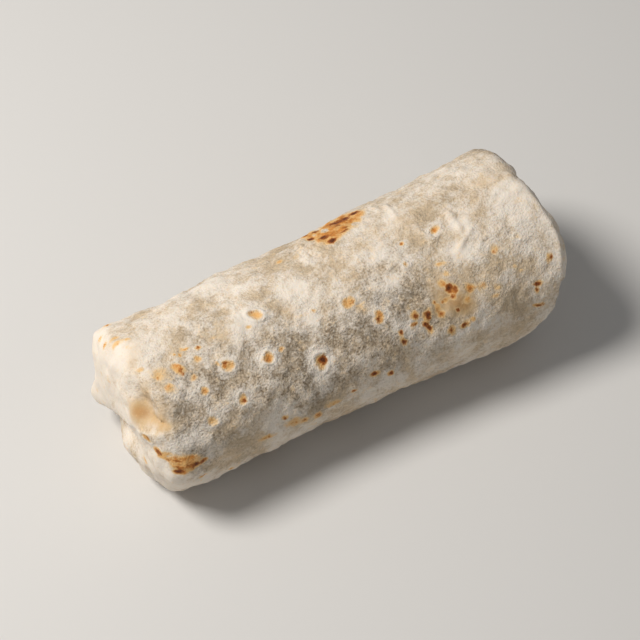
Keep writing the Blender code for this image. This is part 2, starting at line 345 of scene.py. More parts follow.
# The large toasted patch on the top: golden skin first, and then its dark flecks
BIG_TOAST = (
    Spot(0.575, 55, 6.0, 7.0, 1.9, 0.28),
    Spot(0.6, 50, 5.5, 9.0, 1.9, 0.28),
    Spot(0.635, 50, 5.5, 7.0, 1.8, 0.28),
    Spot(0.542, 47, 3.6, 5.0, 1.3, 0.28),
    Spot(0.665, 50, 3.4, 4.0, 1.0, 0.28),
    Spot(0.528, 41, 1.6, 3.1, 1.0, 1.38),
    Spot(0.534, 52, 1.8, 2.0, 1.1, 1.49),
    Spot(0.556, 60, 3.0, 2.0, 1.2, 1.43, turn=20),
    Spot(0.57, 65, 3.8, 1.6, 1.2, 1.43),
    Spot(0.553, 46, 2.2, 2.6, 1.1, 1.1, turn=40),
    Spot(0.585, 43, 2.7, 2.3, 1.1, 1.21),
    Spot(0.614, 46, 4.3, 3.9, 1.2, 1.32, turn=-20),
    Spot(0.608, 54, 1.9, 2.1, 1.2, 0.99),
    Spot(0.612, 63, 3.0, 1.3, 1.2, 1.32),
    Spot(0.642, 48, 3.5, 3.9, 1.2, 1.16, turn=10),
    Spot(0.665, 46, 3.5, 2.3, 1.1, 1.26),
    Spot(0.625, 59, 2.4, 1.6, 1.2, 0.83),
    Spot(0.645, 59, 1.6, 2.1, 1.1, 0.66),
)
# Pale islands in the large toasted patch
CREAM_ISLANDS = (
    Spot(0.573, 51, 1.7, 2.6, 1.0, 0.0),
    Spot(0.647, 60, 1.4, 1.6, 0.8, 0.0),
    Spot(0.545, 50, 0.9, 1.8, 0.7, 0.0),
)
# Strength is dryness: above 0 the skin is floury and white, and below 0 moist and grey
DRY_PATCHES = (
    Patch(-0.45, 85, 11, 1.0),
    Patch(-0.6, 30, 14, 1.0),
    Patch(-0.85, 110, 9, 1.0),
    Patch(-0.22, 70, 8, 0.9),
    Patch(-0.35, 200, 14, 1.0),
    Patch(0.26, 95, 7, 1.3),
    Patch(0.43, 88, 4.5, 0.7),
    Patch(0.415, 112, 4, 0.8),
    Patch(0.51, 101, 4, 0.7),
    Patch(0.64, 112, 4, 0.8),
    Patch(0.7, 98, 5, 0.6),
    Patch(0.74, 66, 5, 1.0),
    Patch(0.88, 98, 6, 0.9),
    Patch(0.97, 114, 6, 0.7),
    Patch(0.83, 112, 3.5, 0.8),
    Patch(0.785, 90, 3, 0.8),
    Patch(0.49, 69, 4, 1.0),
    Patch(0.3, 68, 6, 0.4),
    Patch(0.235, 128, 3.5, 0.8),
    Patch(0.37, 134, 3, 0.6),
    Patch(0.96, 65, 7, 0.5),
    Patch(0.1, 45, 7, 0.2),
    Patch(0.035, 117, 4, 0.6),
    Patch(0.16, 78, 7, 0.1),
    Patch(-0.5, 175, 12, 0.6),
    Patch(-0.48, 330, 15, 1.2),
    Patch(-0.6, 0, 15, 1.0),
    Patch(0.03, 133, 5, -1.2),
    Patch(0.12, 122, 6, -1.0),
    Patch(0.085, 152, 6, -0.9),
    Patch(0.098, 84, 4, -0.8),
    Patch(0.22, 128, 5, -1.0),
    Patch(0.33, 99, 6, -0.9),
    Patch(0.39, 66, 5, -0.8),
    Patch(0.33, 79, 4, -0.8),
    Patch(0.35, 122, 5, -1.3),
    Patch(0.31, 141, 8, -1.1),
    Patch(0.44, 131, 6, -1.0),
    Patch(0.47, 78, 4, -0.9),
    Patch(0.57, 97, 4, -0.9),
    Patch(0.625, 103, 4.5, -1.0),
    Patch(0.64, 125, 6, -1.1),
    Patch(0.54, 142, 5, -0.8),
    Patch(0.45, 158, 6, -0.9),
    Patch(0.81, 78, 5, -0.5),
    Patch(0.765, 96, 4, -0.9),
    Patch(0.81, 127, 5, -0.8),
    Patch(0.86, 140, 4, -0.7),
    Patch(0.95, 155, 7, -0.7),
    Patch(0.91, 76, 5, -0.1),
    Patch(1.6, 90, 16, 0.8),
    Patch(1.6, 270, 16, 0.8),
    Patch(0.15, 170, 12, -0.4),
    Patch(0.36, 166, 13, -0.5),
    Patch(0.6, 166, 13, -0.4),
    Patch(0.85, 166, 12, -0.3),
)
# Strength is how far the filling's juice shows yellow-brown through the sheet. In the -X end's hollow it is
# partly juice and partly painted shade, and along that end's crease it is painted shade.
JUICE_STAINS_AND_SHADE = (
    Patch(0.755, 140, 6.0, 1.15),
    Patch(0.735, 128, 5.0, 0.9),
    Patch(0.79, 146, 4.5, 0.8),
    Patch(0.7, 140, 4.0, 0.5),
    Patch(0.375, 99, 4.5, 0.45),
    Patch(0.632, 102, 4.0, 0.4),
    Patch(0.76, 78, 4.5, 0.5),
    Patch(1.0, 79, 5.5, 0.45),
    Patch(0.01, 104, 4.5, 0.45),
    Patch(0.54, 120, 3.5, 0.4),
    # Partly juice stain and partly painted shade: the tan of the -X end's hollow
    Patch(-0.62, 119, 5.5, 0.75),
    Patch(-0.66, 117, 3.6, 0.5),
    Patch(-0.6, 124, 3.8, 0.5),
    # Painted shade: darker tan along the -X end's crease
    Patch(-0.52, 128, 3.0, 0.35),
    Patch(-0.44, 129, 2.4, 0.45),
    Patch(-0.29, 134, 2.0, 0.55),
    Patch(-0.17, 136, 1.7, 0.6),
    Patch(-0.33, 108, 4.5, 0.6),
    Patch(-0.3, 131, 4.2, 0.6),
    Patch(-0.1, 124, 4.5, 0.5),
    Patch(-0.97, 150, 3.5, 0.6),
    Patch(-0.06, 80, 5.0, 0.4),
    Patch(-0.22, 88, 3.5, 0.35),
    Patch(-0.3, 62, 3.5, 0.35),
)
# Strength is how grey and coarse-grained the skin is, where it isn't floury
GRAINY_PATCHES = (
    Patch(0.05, 125, 13, 0.9),
    Patch(0.2, 128, 15, 1.0),
    Patch(0.3, 140, 17, 1.1),
    Patch(0.42, 134, 13, 0.7),
    Patch(0.52, 150, 16, 0.9),
    Patch(0.62, 118, 14, 0.9),
    Patch(0.66, 100, 11, 0.6),
    Patch(0.13, 88, 9, 0.6),
    Patch(0.35, 88, 8, 0.4),
    Patch(0.7, 150, 14, 0.7),
    Patch(0.04, 158, 12, 0.7),
)
# Pleats in the skin, and with a height less than 0, creases
PLEATS = (
    Pleat(((0.857, 82), (0.869, 88), (0.871, 96), (0.862, 104)), 0.75, 1.5),
    Pleat(((0.893, 103), (0.852, 108), (0.810, 114)), 0.85, 1.6),
    Pleat(((0.913, 111), (0.883, 113), (0.861, 118)), 0.60, 1.1),
    Pleat(((0.949, 109), (0.924, 115), (0.922, 121)), 0.30, 1.0),
    Pleat(((0.786, 79), (0.776, 86), (0.784, 94), (0.794, 99), (0.818, 98)), 0.75, 1.3),
    Pleat(((0.739, 53), (0.746, 66), (0.745, 75)), 0.80, 1.4),
    Pleat(((0.481, 48), (0.513, 66), (0.551, 78)), 1.00, 0.9),
    Pleat(((0.489, 58), (0.499, 73)), 1.00, 1.0),
    Pleat(((0.504, 56), (0.533, 68), (0.558, 76)), 0.90, 0.8),
    Pleat(((0.472, 58), (0.493, 76)), 0.80, 0.9),
    Pleat(((0.680, 56), (0.697, 48), (0.716, 53), (0.722, 61), (0.709, 67), (0.692, 65)), 0.55, 1.0),
    Pleat(((-0.013, 106), (-0.025, 113), (-0.050, 120)), 0.50, 0.9),
    Pleat(((-0.080, 116), (-0.101, 124), (-0.075, 130)), 0.50, 0.8),
    Pleat(((0.001, 106), (0.012, 113), (0.008, 122)), 0.45, 0.8),
    Pleat(((-0.110, 108), (-0.180, 114), (-0.230, 121)), 0.40, 1.0),
    Pleat(((-0.44, 108), (-0.53, 119), (-0.53, 126), (-0.42, 132), (-0.24, 136)), -1.20, 3.6),
    Pleat(((-0.50, 127), (-0.31, 133), (-0.13, 136)), -1.30, 1.1),
    Pleat(((-0.30, 104), (-0.22, 112), (-0.19, 122)), 0.40, 1.2),
    Pleat(((0.024, 176), (0.004, 180), (-0.060, 184)), -0.70, 1.0),
    Pleat(((0.034, 181), (0.020, 186), (-0.030, 191)), 0.60, 1.2),
    Pleat(((0.050, 138), (0.052, 146)), 0.45, 0.7),
    Pleat(((0.022, 110), (0.030, 119)), 0.25, 0.9),
    Pleat(((0.371, 131), (0.358, 138), (0.366, 147)), 0.30, 0.8),
    Pleat(((1.30, 96), (1.22, 112), (1.22, 128), (1.15, 142), (1.12, 152)), 0.55, 1.2),
)

# Chance spots on the sides away from the light. Lengths are half lengths in millimetres.
CHANCE_SEED = 11
CHANCE_SPOTS = 64
CHANCE_T = (0.02, 0.98)
CHANCE_V = (196, 388)
CHANCE_LENGTHS = (0.9, 2.5)
CHANCE_WIDTH_SHARES = (0.6, 1.1)
CHANCE_GOLD = (0.5, 1.0)
CHANCE_BROWN = (0.1, 1.1)
CHANCE_RIM = (0.5, 1.0)
RIMMED_SHARE = 0.35  # share of the spots that have a rim
TWINNED_SHARE = 0.4  # share of the spots that have a smaller one beside them
TWIN_AWAY_T = 0.015
TWIN_AWAY_V = 4
TWIN_LENGTH_SHARE = 0.7
TWIN_WIDTH_SHARE = 0.6
FAR_END_SPOTS = 10
FAR_END_T = (0.25, 0.85)
FAR_END_LENGTHS = (1.0, 2.2)
FAR_END_WIDTHS = (0.8, 1.6)

# How a spot is toasted, with distances in shares of its size
GOLD_REACH = 1.30
BROWN_DRIFT = 0.38  # how far the brown middle of a blister lies off its own middle
GOLDEN_ANGLE = np.pi * (3 - np.sqrt(5))
HALO_FROM = 1.5
HALO_TO = 3.2
RING_AT = 1.3
RING_SPREAD = 0.45
DISH_DEPTH = 0.7
DISH_SPREAD = 0.7
FARTHEST = 4.0
OUTWARD_REACH = 4.0
ISLAND_REACH = 1.3
ISLAND_EDGE = 0.5
MOST_TOASTED = 1.5

RIPPLE_WAVES = 30  # plain waves that add up to one ripple
RIPPLE_STRETCH = (0.7, 1.4)  # how much shorter or longer each of them is


class Ripple(NamedTuple):
    """A smooth random wave through the skin: its length, its height, and the seed of its directions."""

    length: float
    height: float
    seed: int

    def at(self, points):
        chance = np.random.default_rng(self.seed)
        stretches = unit(chance.normal(size=(RIPPLE_WAVES, 3)))
        stretches = stretches * chance.uniform(*RIPPLE_STRETCH, (RIPPLE_WAVES, 1))
        phases = chance.uniform(0, 2 * np.pi, RIPPLE_WAVES)
        waves = np.cos(points @ stretches.T * (2 * np.pi / self.length) + phases)
        return self.height * (waves.sum(axis=1) / np.sqrt(RIPPLE_WAVES))


# How the outlines of spots wander, and where the skin is dry, puffed up, crinkled and grainy
RAGS = tuple(Ripple(length=0.0065, height=0.00032, seed=20 + axis) for axis in range(3))
DRY_RIPPLES = (Ripple(length=0.030, height=1.0, seed=3), Ripple(length=0.014, height=0.6, seed=4))
PUFF_RIPPLES = (Ripple(length=0.011, height=0.6, seed=5), Ripple(length=0.005, height=0.4, seed=6))
CRINKLE_RIPPLE = Ripple(length=0.008, height=1.0, seed=7)
GRAINY_RIPPLE = Ripple(length=0.035, height=0.4, seed=8)
CRINKLE_SQUEEZE = np.array([1.5, 0.9, 0.9])
CRINKLES_FADE_FROM = 0.3
CRINKLES_FADE_TO = 1.2
CRINKLES_FADE = 0.8
DRY_PUFF = 0.5  # how far dry skin is puffed up
DRY_SWING = 0.25  # how far dryness swings with its ripples
HIDDEN_DRYNESS = 0.2
HIDDEN_GRAININESS = 0.1

# The upper near side, where every patch is listed one by one
SHOWN_ANGLE = 105.0
SHOWN_SPREAD = 75.0
SHOWN_END_T = 1.3

STEPS_BETWEEN_KNOTS = 10
PLEAT_GROOVE = 1.1  # how far the grooves beside a pleat go down

# The skin's flat map: the straight part fills its left, and the two ends stand one over the other beside it
MAP_NAME = "OFBake"
MAP_MARGIN = 0.005
MAP_HEIGHT = 0.97
BODY_ON_MAP = 0.615
END_RADIUS_ON_MAP = 0.172
ENDS_ACROSS_MAP = (1 + BODY_ON_MAP) / 2
LEFT_END_UP_MAP = 0.25
RIGHT_END_UP_MAP = 0.72
PATH_POINTS = 800
PATHS = 18

# Where each finish of the skin starts to show and where it shows fully, as what feeds it rises
FLOUR_RISE = (-0.34, 0.36)
SHEER_RISE = (-0.20, 0.24)
GRAINY_RISE = (0.05, 0.95)
PIT_RISE = (0.42, 0.95)
FROST_RISE = (-0.02, 0.22)
SOAKED_RISE = (0.25, 0.90)
# The next two rises also carry the painted shade in the -X end's hollow and along its crease
JUICE_AND_SHADE_RISE = (0.05, 1.05)
STEEPED_AND_SHADE_RISE = (0.90, 1.60)
POWDER_RISE = (0.10, 1.10)
SPOTTED_RISE = (0.03, 0.25)
STRAW_RISE = (0.02, 0.48)
CRUST_RISE = (0.28, 0.78)
AMBER_RISE = (0.20, 0.90)
BROWN_RISE = (0.25, 0.75)
SCORCHED_RISE = (0.72, 1.20)
SMOOTH_RISE = (0.2, 1.2)

# How much of each finish shows at most
FLOUR_COVER = 0.90
FROST_COVER = 0.62
PIT_COVER = 0.80
# The next two covers also carry the painted shade in the -X end's hollow and along its crease
JUICE_AND_SHADE_COVER = 0.72
STEEPED_AND_SHADE_COVER = 0.80
POWDER_COVER = 0.95
# The next one is how dark the painted shade in the groove round each blister is
GROOVE_SHADE_COVER = 0.08
RING_COVER = 0.30
STRAW_COVER = 0.85

# The rings round a blister: how far out each lies, and how wide it is, in shares of the blister's size
RING = (1.25, 0.45)
GROOVE = (1.75, 0.40)
OUTER_RING = (2.20, 0.50)

# Relief in millimetres
GRAIN_RELIEF = 0.34
CURD_RELIEF = 0.75
PIT_RELIEF = 0.08
RING_RELIEF = 0.09
GROOVE_RELIEF = 0.07
OUTER_RING_RELIEF = 0.05

SKIN_ROUGHNESS = 0.78
FLOUR_ROUGHER = 0.12
BROWN_SMOOTHER = 0.15
SKIN_SHINE = 0.32
GLOW_COLOURS = (1.0, 0.62, 0.36)  # how far red, green and blue light run under the skin, against each other
DEPTH_OVER_CLOUD = 1.7
FLOOR_ROUGHNESS = 0.9
FLOOR_SHINE = 0.1
CAMERA_CLIP = (0.01, 20.0)


def step(value, start, end):
    """0 below start, 1 above end, and a smooth rise between."""
    share = np.clip((value - start) / (end - start), 0.0, 1.0)
    return share * share * (3.0 - 2.0 * share)


def hill(value, middle, spread):
    """1 at the middle, falling away smoothly on both sides."""
    return np.exp(-(((value - middle) / spread) ** 2))


def turned(v, middle):
    """The angle from middle to v, between -180 and 180."""
    return (v - middle + 180.0) % 360.0 - 180.0


def hill_round(v, middle, spread):
    """A hill round the roll, for angles."""
    return hill(turned(v, middle), 0.0, spread)


def half_width(x):
    """Half the roll's width at a place along it."""
    widening = step(x, WIDENS_FROM_X, WIDENS_TO_X)
    return LEFT_HALF_WIDTH + (RIGHT_HALF_WIDTH - LEFT_HALF_WIDTH) * widening


def end_profile(amount, rounding):
    """Share of the radius, and share of END_DEPTH, from the straight part (0) to the end's middle (1)."""
    turn = np.clip(amount, 0.0, 1.0) * np.pi / 2
    return np.cos(turn) ** (2 / rounding), np.sin(turn) ** (2 / rounding)


def corner_rounding(t_on_end, v, rounding, corner, corner_angle, corner_spread):
    """The end's superellipse exponent, which is greater at its squarer corner."""
    fade = 1 - step(t_on_end, CORNER_FADES, 1.0)
    return rounding + (corner - rounding) * fade * hill_round(v, corner_angle, corner_spread)


def roll_point(t, v):
    """The roll without its folds and lumps: an oval section, rounded at both ends."""
    left = np.clip(-t, 0, 1)
    right = np.clip(t - 1, 0, 1)
    left_radius, left_depth = end_profile(
        left,
        corner_rounding(
            left, v, LEFT_ROUNDING, LEFT_CORNER_ROUNDING, LEFT_CORNER_ANGLE, LEFT_CORNER_SPREAD
        ),
    )
    right_radius, right_depth = end_profile(
        right,
        corner_rounding(
            right, v, RIGHT_ROUNDING, RIGHT_CORNER_ROUNDING, RIGHT_CORNER_ANGLE, RIGHT_CORNER_SPREAD
        ),
    )
    radius = left_radius * right_radius

    setback = TOP_SETBACK * hill_round(v, TOP_ANGLE, TOP_SPREAD)
    setback = setback + LOWER_FLAP_SETBACK * hill_round(v, LOWER_FLAP_ANGLE, LOWER_FLAP_SPREAD)
    body_start = LEFT_END_X + END_DEPTH
    body_end = RIGHT_END_X - END_DEPTH - setback * right_radius
    x = body_start + np.clip(t, 0, 1) * (body_end - body_start)
    x = x + END_DEPTH * (right_depth - left_depth)

    wide = half_width(x)
    high = HEIGHT_SHARE * wide
    up = np.sin(np.radians(v))
    z = high + np.where(up > 0, high, high + UNDERSIDE_SINK) * up * radius
    return np.stack([x, wide * np.cos(np.radians(v)) * radius, z], axis=-1)


def unit(vectors):
    """The vectors, each brought to a length of 1."""
    return vectors / np.linalg.norm(vectors, axis=-1, keepdims=True)


def directions(t, v):
    """The unit vectors that point along the roll, round it, and out of it."""
    inner_t = np.clip(t, -1 + 2 * NEARBY_T, 2 - 2 * NEARBY_T)
    along = unit(roll_point(inner_t + NEARBY_T, v) - roll_point(inner_t - NEARBY_T, v))
    round_it = roll_point(inner_t, v + NEARBY_V) - roll_point(inner_t, v - NEARBY_V)
    out = unit(np.cross(round_it, along))
    return along, np.cross(along, out), out


def fold_coordinates(before_end, v, fold_angle):
    """How far a point is from the end's middle, how far along the fold's line towards fold_angle, and how
    far above that line. On the straight part before_end is less than 0."""
    body_over_end = (RIGHT_END_X - LEFT_END_X - 2 * END_DEPTH) / END_REACH
    from_middle = 1 - np.where(before_end > 0, before_end, before_end * body_over_end)
    along = from_middle * np.cos(np.radians(fold_angle - v))
    across = from_middle * np.sin(np.radians(fold_angle - v))
    return from_middle, along, across


def left_folds(t, v):
    """Height of the -X end's upper flap, its lobe, and the notch, hollow and crease beside it."""
    from_middle, along, across = fold_coordinates(-t, v, LEFT_FOLD_ANGLE)
    on_end = 1 - step(from_middle, FOLDS_FADE_FROM, FOLDS_FADE_TO)
    on_flap = step(across, LEFT_FLAP_FROM, LEFT_FLAP_TO)
    flap_back = hill_round(v, FLAP_BACK_ANGLE, FLAP_BACK_SPREAD) * step(
        from_middle, FLAP_BACK_FROM, FLAP_BACK_TO
    )
    flap = on_flap * (LOBE.at(along, across) - FLAP_BACK_DEPTH * flap_back)
    ends_there = flap + NOTCH.at(along, across) + LOWER_FLAP.at(along, across)
    runs_on = HOLLOW.at(along, across) + CREASE.at(along, across) + RIDGE.at(along, across)
    return ends_there * on_end + runs_on


def lower_fold(t, v):
    """The step where one lower flap of the +X end lies over the other."""
    _, along, across = fold_coordinates(t - 1, v, LOWER_FOLD_ANGLE)
    starts = step(along, LOWER_FOLD_FROM, LOWER_FOLD_TO)
    flap = step(across, RIGHT_FLAP_FROM, RIGHT_FLAP_TO) * hill(across, 0.0, RIGHT_FLAP_SPREAD / 2)
    return LOWER_FOLD_HEIGHT * starts * flap + LOWER_NOTCH.at(along, across)


def right_folds(t, v):
    """Height of the +X end's flaps and pillows, and of the dip in its middle."""
    from_middle, along, across = fold_coordinates(t - 1, v, RIGHT_FOLD_ANGLE)
    on_end = 1 - step(from_middle, FOLDS_FADE_FROM, FOLDS_FADE_TO)
    inside = 1 - step(from_middle, PILLOWS_FADE_FROM, PILLOWS_FADE_TO)
    on_flap = step(across, RIGHT_FLAP_FROM, RIGHT_FLAP_TO)
    flap = RIGHT_FLAP_HEIGHT * on_flap * hill(along, RIGHT_FLAP_ALONG, RIGHT_FLAP_SPREAD)
    pillows = sum(pillow.at(along, across) for pillow in FLAP_PILLOWS)
    middle = MIDDLE_DEPTH * hill(from_middle, 0.0, MIDDLE_SPREAD)
    crossing = flap + RIGHT_NOTCH.at(along, across) + lower_fold(t, v) * (1 - on_flap)
    return crossing * on_end + pillows * inside - middle


def end_pleats(t, v):
    """The pleats that run out over the upper flap of the +X end, each turning as it goes."""
    from_middle, _, across = fold_coordinates(t - 1, v, RIGHT_FOLD_ANGLE)
    total = np.zeros(len(v))
    for angle in END_PLEAT_ANGLES:
        away = turned(v, angle + END_PLEAT_TURN * (from_middle - END_PLEAT_TO))
        beside = np.radians(away) * from_middle / END_PLEAT_WIDTH
        total += (1 - beside**2) * np.exp(-(beside**2)) * (abs(away) < 90)
    reach = step(from_middle, END_PLEAT_FROM, END_PLEAT_TO)
    reach = reach * (1 - step(from_middle, PILLOWS_FADE_FROM, END_PLEAT_FADES))
    return END_PLEAT_HEIGHT * total * reach * step(across, *END_PLEAT_ABOVE_FOLD)


def seam_angle(t):
    """Where the tortilla's free edge lies, low on the far side, between the ends of the two folds."""
    return 180.0 + LEFT_FOLD_ANGLE + (RIGHT_FOLD_ANGLE - LEFT_FOLD_ANGLE) * np.clip(t, 0, 1)


def seam(t, v):
    """The step down from the tortilla's free edge to the turn below it, which runs out towards the base."""
    below_edge = (seam_angle(t) - v) % 360.0
    depth = step(below_edge, 0.0, SEAM_EDGE) * (1 - step(below_edge, SEAM_EDGE, SEAM_RUN_OUT))
    return -SHEET * depth * (1 - step(-t, 0.0, SEAM_FADES)) * (1 - step(t - 1, 0.0, SEAM_FADES))


def lumps(t, v, x):
    """The filling's soft lumps, which fade out towards the middle of each end."""
    turn = np.radians(v)
    long_waves = np.sin(x / LONG_WAVE + LONG_PHASE + LONG_BEND * np.sin(2 * turn))
    long_waves = long_waves * np.cos(LONG_COUNT_ROUND * turn + x / LONG_TWIST)
    short_waves = np.sin(x / SHORT_WAVE + SHORT_PHASE - SHORT_BEND * np.cos(turn))
    short_waves = short_waves * np.sin(SHORT_COUNT_ROUND * turn - x / SHORT_TWIST)
    fade = 1 - step(-t, LUMPS_FADE_FROM, LUMPS_FADE_TO) - step(t - 1, LUMPS_FADE_FROM, LUMPS_FADE_TO)
    return LUMP_HEIGHT * fade * (long_waves + SHORT_SHARE * short_waves)


def lapped(across, lap, width):
    """Draws the skin together at a fold's line, and laps it over itself where lap is more than 1."""
    return across * (1.0 - lap * hill(across, 0.0, width))


def fold_shift(from_middle, v, fold_angle, lap):
    """How far the points near a fold's line move, in the plane of the end, to give its flap a crisp edge."""
    across = from_middle * np.sin(np.radians(fold_angle - v))
    moved = lapped(across, lap, LAP_WIDTH / END_REACH) - across
    upward = np.radians(fold_angle - 90.0)
    return moved * np.cos(upward), moved * np.sin(upward)


def lapped_end(before_end, v, folds):
    """Where the points of an end lie once its sheet is lapped at the folds, each an angle and a lap."""
    from_middle = 1 - before_end
    along_y = from_middle * np.cos(np.radians(v))
    along_z = from_middle * np.sin(np.radians(v))
    for fold_angle, lap in folds:
        shift_y, shift_z = fold_shift(from_middle, v, fold_angle, lap)
        along_y, along_z = along_y + shift_y, along_z + shift_z
    new_v = np.degrees(np.arctan2(along_z, along_y)) % 360.0
    return np.clip(1 - np.hypot(along_y, along_z), 0.0, 1.0), new_v


def lap_along(from_middle, v, fold_angle):
    """How far the sheet is lapped at a fold: less at the end where the fold's line runs into the hollow."""
    along = from_middle * np.cos(np.radians(fold_angle - v))
    return LAP * (1 - LAP_FADE * step(along, LAP_FADES_FROM, LAP_FADES_TO))


def lapped_left(t, v):
    """Where the points of the -X end lie once its sheet is lapped."""
    lap = lap_along(1 + t, v, LEFT_FOLD_ANGLE)
    before_end, new_v = lapped_end(-t, v, [(LEFT_FOLD_ANGLE, lap)])
    return -before_end, new_v


def lapped_right(t, v):
    """Where the points of the +X end lie once its sheet is lapped at both folds."""
    off_middle = step(2 - t, MIDDLE_LAP_FROM, MIDDLE_LAP_TO)
    lap = lap_along(2 - t, v, RIGHT_FOLD_ANGLE) * off_middle
    _, _, above = fold_coordinates(t - 1, v, RIGHT_FOLD_ANGLE)
    _, along, _ = fold_coordinates(t - 1, v, LOWER_FOLD_ANGLE)
    lower_lap = LAP * step(along, LOWER_FOLD_FROM, LOWER_FOLD_TO) * off_middle * (above < 0)
    before_end, new_v = lapped_end(t - 1, v, [(RIGHT_FOLD_ANGLE, lap), (LOWER_FOLD_ANGLE, lower_lap)])
    return 1 + before_end, new_v


def lapped_body(t, v):
    """Where the points of the straight part lie once the sheet is lapped at its free edge."""
    edge = seam_angle(t)
    return t, edge + lapped(turned(v, edge), LAP, np.degrees(LAP_WIDTH / END_REACH))


class Skin:
    """Every point of the skin's mesh: its own t and v, and where it lies once the sheet is lapped."""

    def __init__(self, t, v):
        self.t = t
        self.v = v
        placed_t = t.copy()
        placed_v = v.copy()
        on_left = t < 0
        on_right = t > 1
        on_body = ~(on_left | on_right)
        for part, place in ((on_left, lapped_left), (on_right, lapped_right), (on_body, lapped_body)):
            placed_t[part], placed_v[part] = place(t[part], v[part])
        self.plain = roll_point(t, v)
        self.base = roll_point(placed_t, placed_v)
        _, _, self.out = directions(placed_t, placed_v)


def ragged_warp(skin):
    """How far each point is moved, for the spots alone, so that their outlines are ragged."""
    return np.stack([rag.at(skin.plain) for rag in RAGS], axis=1)


def spot_distance(points, spot, drift=(0.0, 0.0)):
    """How far each point is from a spot's middle, where 1 is at the spot's edge. The middle can drift, by
    shares of the spot's half length and half width."""
    t, v = np.array(spot.t), np.array(spot.v, dtype=float)
    along, round_it, out = directions(t, v)
    away = (points - roll_point(t, v)) / MM
    turn = np.radians(spot.turn)
    lengthwise = away @ (np.cos(turn) * along + np.sin(turn) * round_it) / spot.length - drift[0]
    widthwise = away @ (np.cos(turn) * round_it - np.sin(turn) * along) / spot.width - drift[1]
    outward = away @ out / (OUTWARD_REACH * max(spot.length, spot.width))
    return np.sqrt(lengthwise**2 + widthwise**2 + outward**2)


def patch_field(skin, patches):
    """The sum of soft hills at the patches."""
    total = np.zeros(len(skin.t))
    for patch in patches:
        away = skin.plain - roll_point(np.array(patch.t), np.array(patch.v, dtype=float))
        total += patch.strength * hill(np.linalg.norm(away, axis=1), 0.0, patch.size * MM)
    return total


def pleat_profile(skin, pleat):
    """Height of one pleat: a ridge with a shallow groove on each side, fading at its two ends."""
    knots = np.array(pleat.points, dtype=float)
    places = np.linspace(0, len(knots) - 1, STEPS_BETWEEN_KNOTS * len(knots))
    t = np.interp(places, np.arange(len(knots)), knots[:, 0])
    v = np.interp(places, np.arange(len(knots)), knots[:, 1])
    line = roll_point(t, v)
    nearest = np.full(len(skin.t), np.inf)
    share = np.zeros(len(skin.t))
    for number, (start, end) in enumerate(zip(line, line[1:])):
        way = end - start
        part = np.clip((skin.plain - start) @ way / (way @ way), 0, 1)
        distance = np.linalg.norm(skin.plain - start - part[:, None] * way, axis=1)
        closer = distance < nearest
        nearest[closer] = distance[closer]
        share[closer] = (number + part[closer]) / (len(line) - 1)
    away = nearest / (pleat.width * MM)
    taper = np.sqrt(np.clip(np.sin(np.pi * share), 0, 1))
    return pleat.height * MM * taper * (1 - PLEAT_GROOVE * away**2) * np.exp(-(away**2))


def chance_spot(chance, t, v, length, width, rimmed):
    """A spot with a random turn and toasting."""
    turn = chance.uniform(0, 90)
    gold = chance.uniform(*CHANCE_GOLD)
    brown = chance.uniform(*CHANCE_BROWN)
    return Spot(t, v, length, width, gold, brown, chance.uniform(*CHANCE_RIM) * rimmed, turn)


def chance_spots():
    """Spots for the sides away from the light, of the same kinds and about as close together."""
    chance = np.random.default_rng(CHANCE_SEED)
    spots = []
    for _ in range(CHANCE_SPOTS):
        t = chance.uniform(*CHANCE_T)
        v = chance.uniform(*CHANCE_V)
        length = chance.uniform(*CHANCE_LENGTHS)
        width = length * chance.uniform(*CHANCE_WIDTH_SHARES)
        rimmed = chance.random() < RIMMED_SHARE
        spots.append(chance_spot(chance, t, v, length, width, rimmed))
        if chance.random() < TWINNED_SHARE:
            twin_t = t + chance.normal(0, TWIN_AWAY_T)
            twin_v = v + chance.normal(0, TWIN_AWAY_V)
            twin_length = length * TWIN_LENGTH_SHARE
            twin_width = length * TWIN_WIDTH_SHARE
            spots.append(chance_spot(chance, twin_t, twin_v, twin_length, twin_width, False))
    for _ in range(FAR_END_SPOTS):
        t = 1 + chance.uniform(*FAR_END_T)
        v = chance.uniform(0, 360)
        length = chance.uniform(*FAR_END_LENGTHS)
        width = chance.uniform(*FAR_END_WIDTHS)
        rimmed = chance.random() < RIMMED_SHARE
        spots.append(chance_spot(chance, t, v, length, width, rimmed))
    return spots


def toasting(skin):
    """Gold, brown and pale halo at every point, from all the spots, how far the nearest blister is, and how
    far the blisters' rims stand up."""
    gold, brown, halo, relief = np.zeros((4, len(skin.t)))
    blister = np.full(len(skin.t), FARTHEST)
    points = skin.plain + ragged_warp(skin)
    spots = (*RIM_BLISTERS, *SMALL_SPOTS, *SCORCHES, *NEAR_END_SPOTS, *BIG_TOAST, *chance_spots())
    for number, spot in enumerate(spots):
        away = spot_distance(points, spot)
        heading = number * GOLDEN_ANGLE
        drift = BROWN_DRIFT if spot.rim > 0 else BROWN_DRIFT / 2
        brown_away = spot_distance(points, spot, (drift * np.cos(heading), drift * np.sin(heading)))
        gold = np.maximum(gold, spot.gold * np.clip(GOLD_REACH - away, 0, 1))
        brown = np.maximum(brown, spot.brown * np.clip(1 - brown_away, 0, 1))
        halo = np.maximum(halo, spot.rim * (1 - step(away, HALO_FROM, HALO_TO)))
        if spot.rim > 0:
            blister = np.minimum(blister, away)
            dish = DISH_DEPTH * hill(away, 0.0, DISH_SPREAD)
            relief = relief + spot.rim * (hill(away, RING_AT, RING_SPREAD) - dish)
    for island in CREAM_ISLANDS:
        left_pale = island.gold * step(ISLAND_REACH - spot_distance(points, island), 0.0, ISLAND_EDGE)
        gold = gold * (1 - left_pale)
        brown = brown * (1 - left_pale)
    return np.clip(gold, 0, MOST_TOASTED), np.clip(brown, 0, MOST_TOASTED), halo, blister, relief


def on_show(skin):
    """1 on the upper near side, where each patch is listed one by one, falling to 0 on the hidden sides."""
    return hill_round(skin.v, SHOWN_ANGLE, SHOWN_SPREAD) * (1 - step(skin.t, 1.0, SHOWN_END_T))


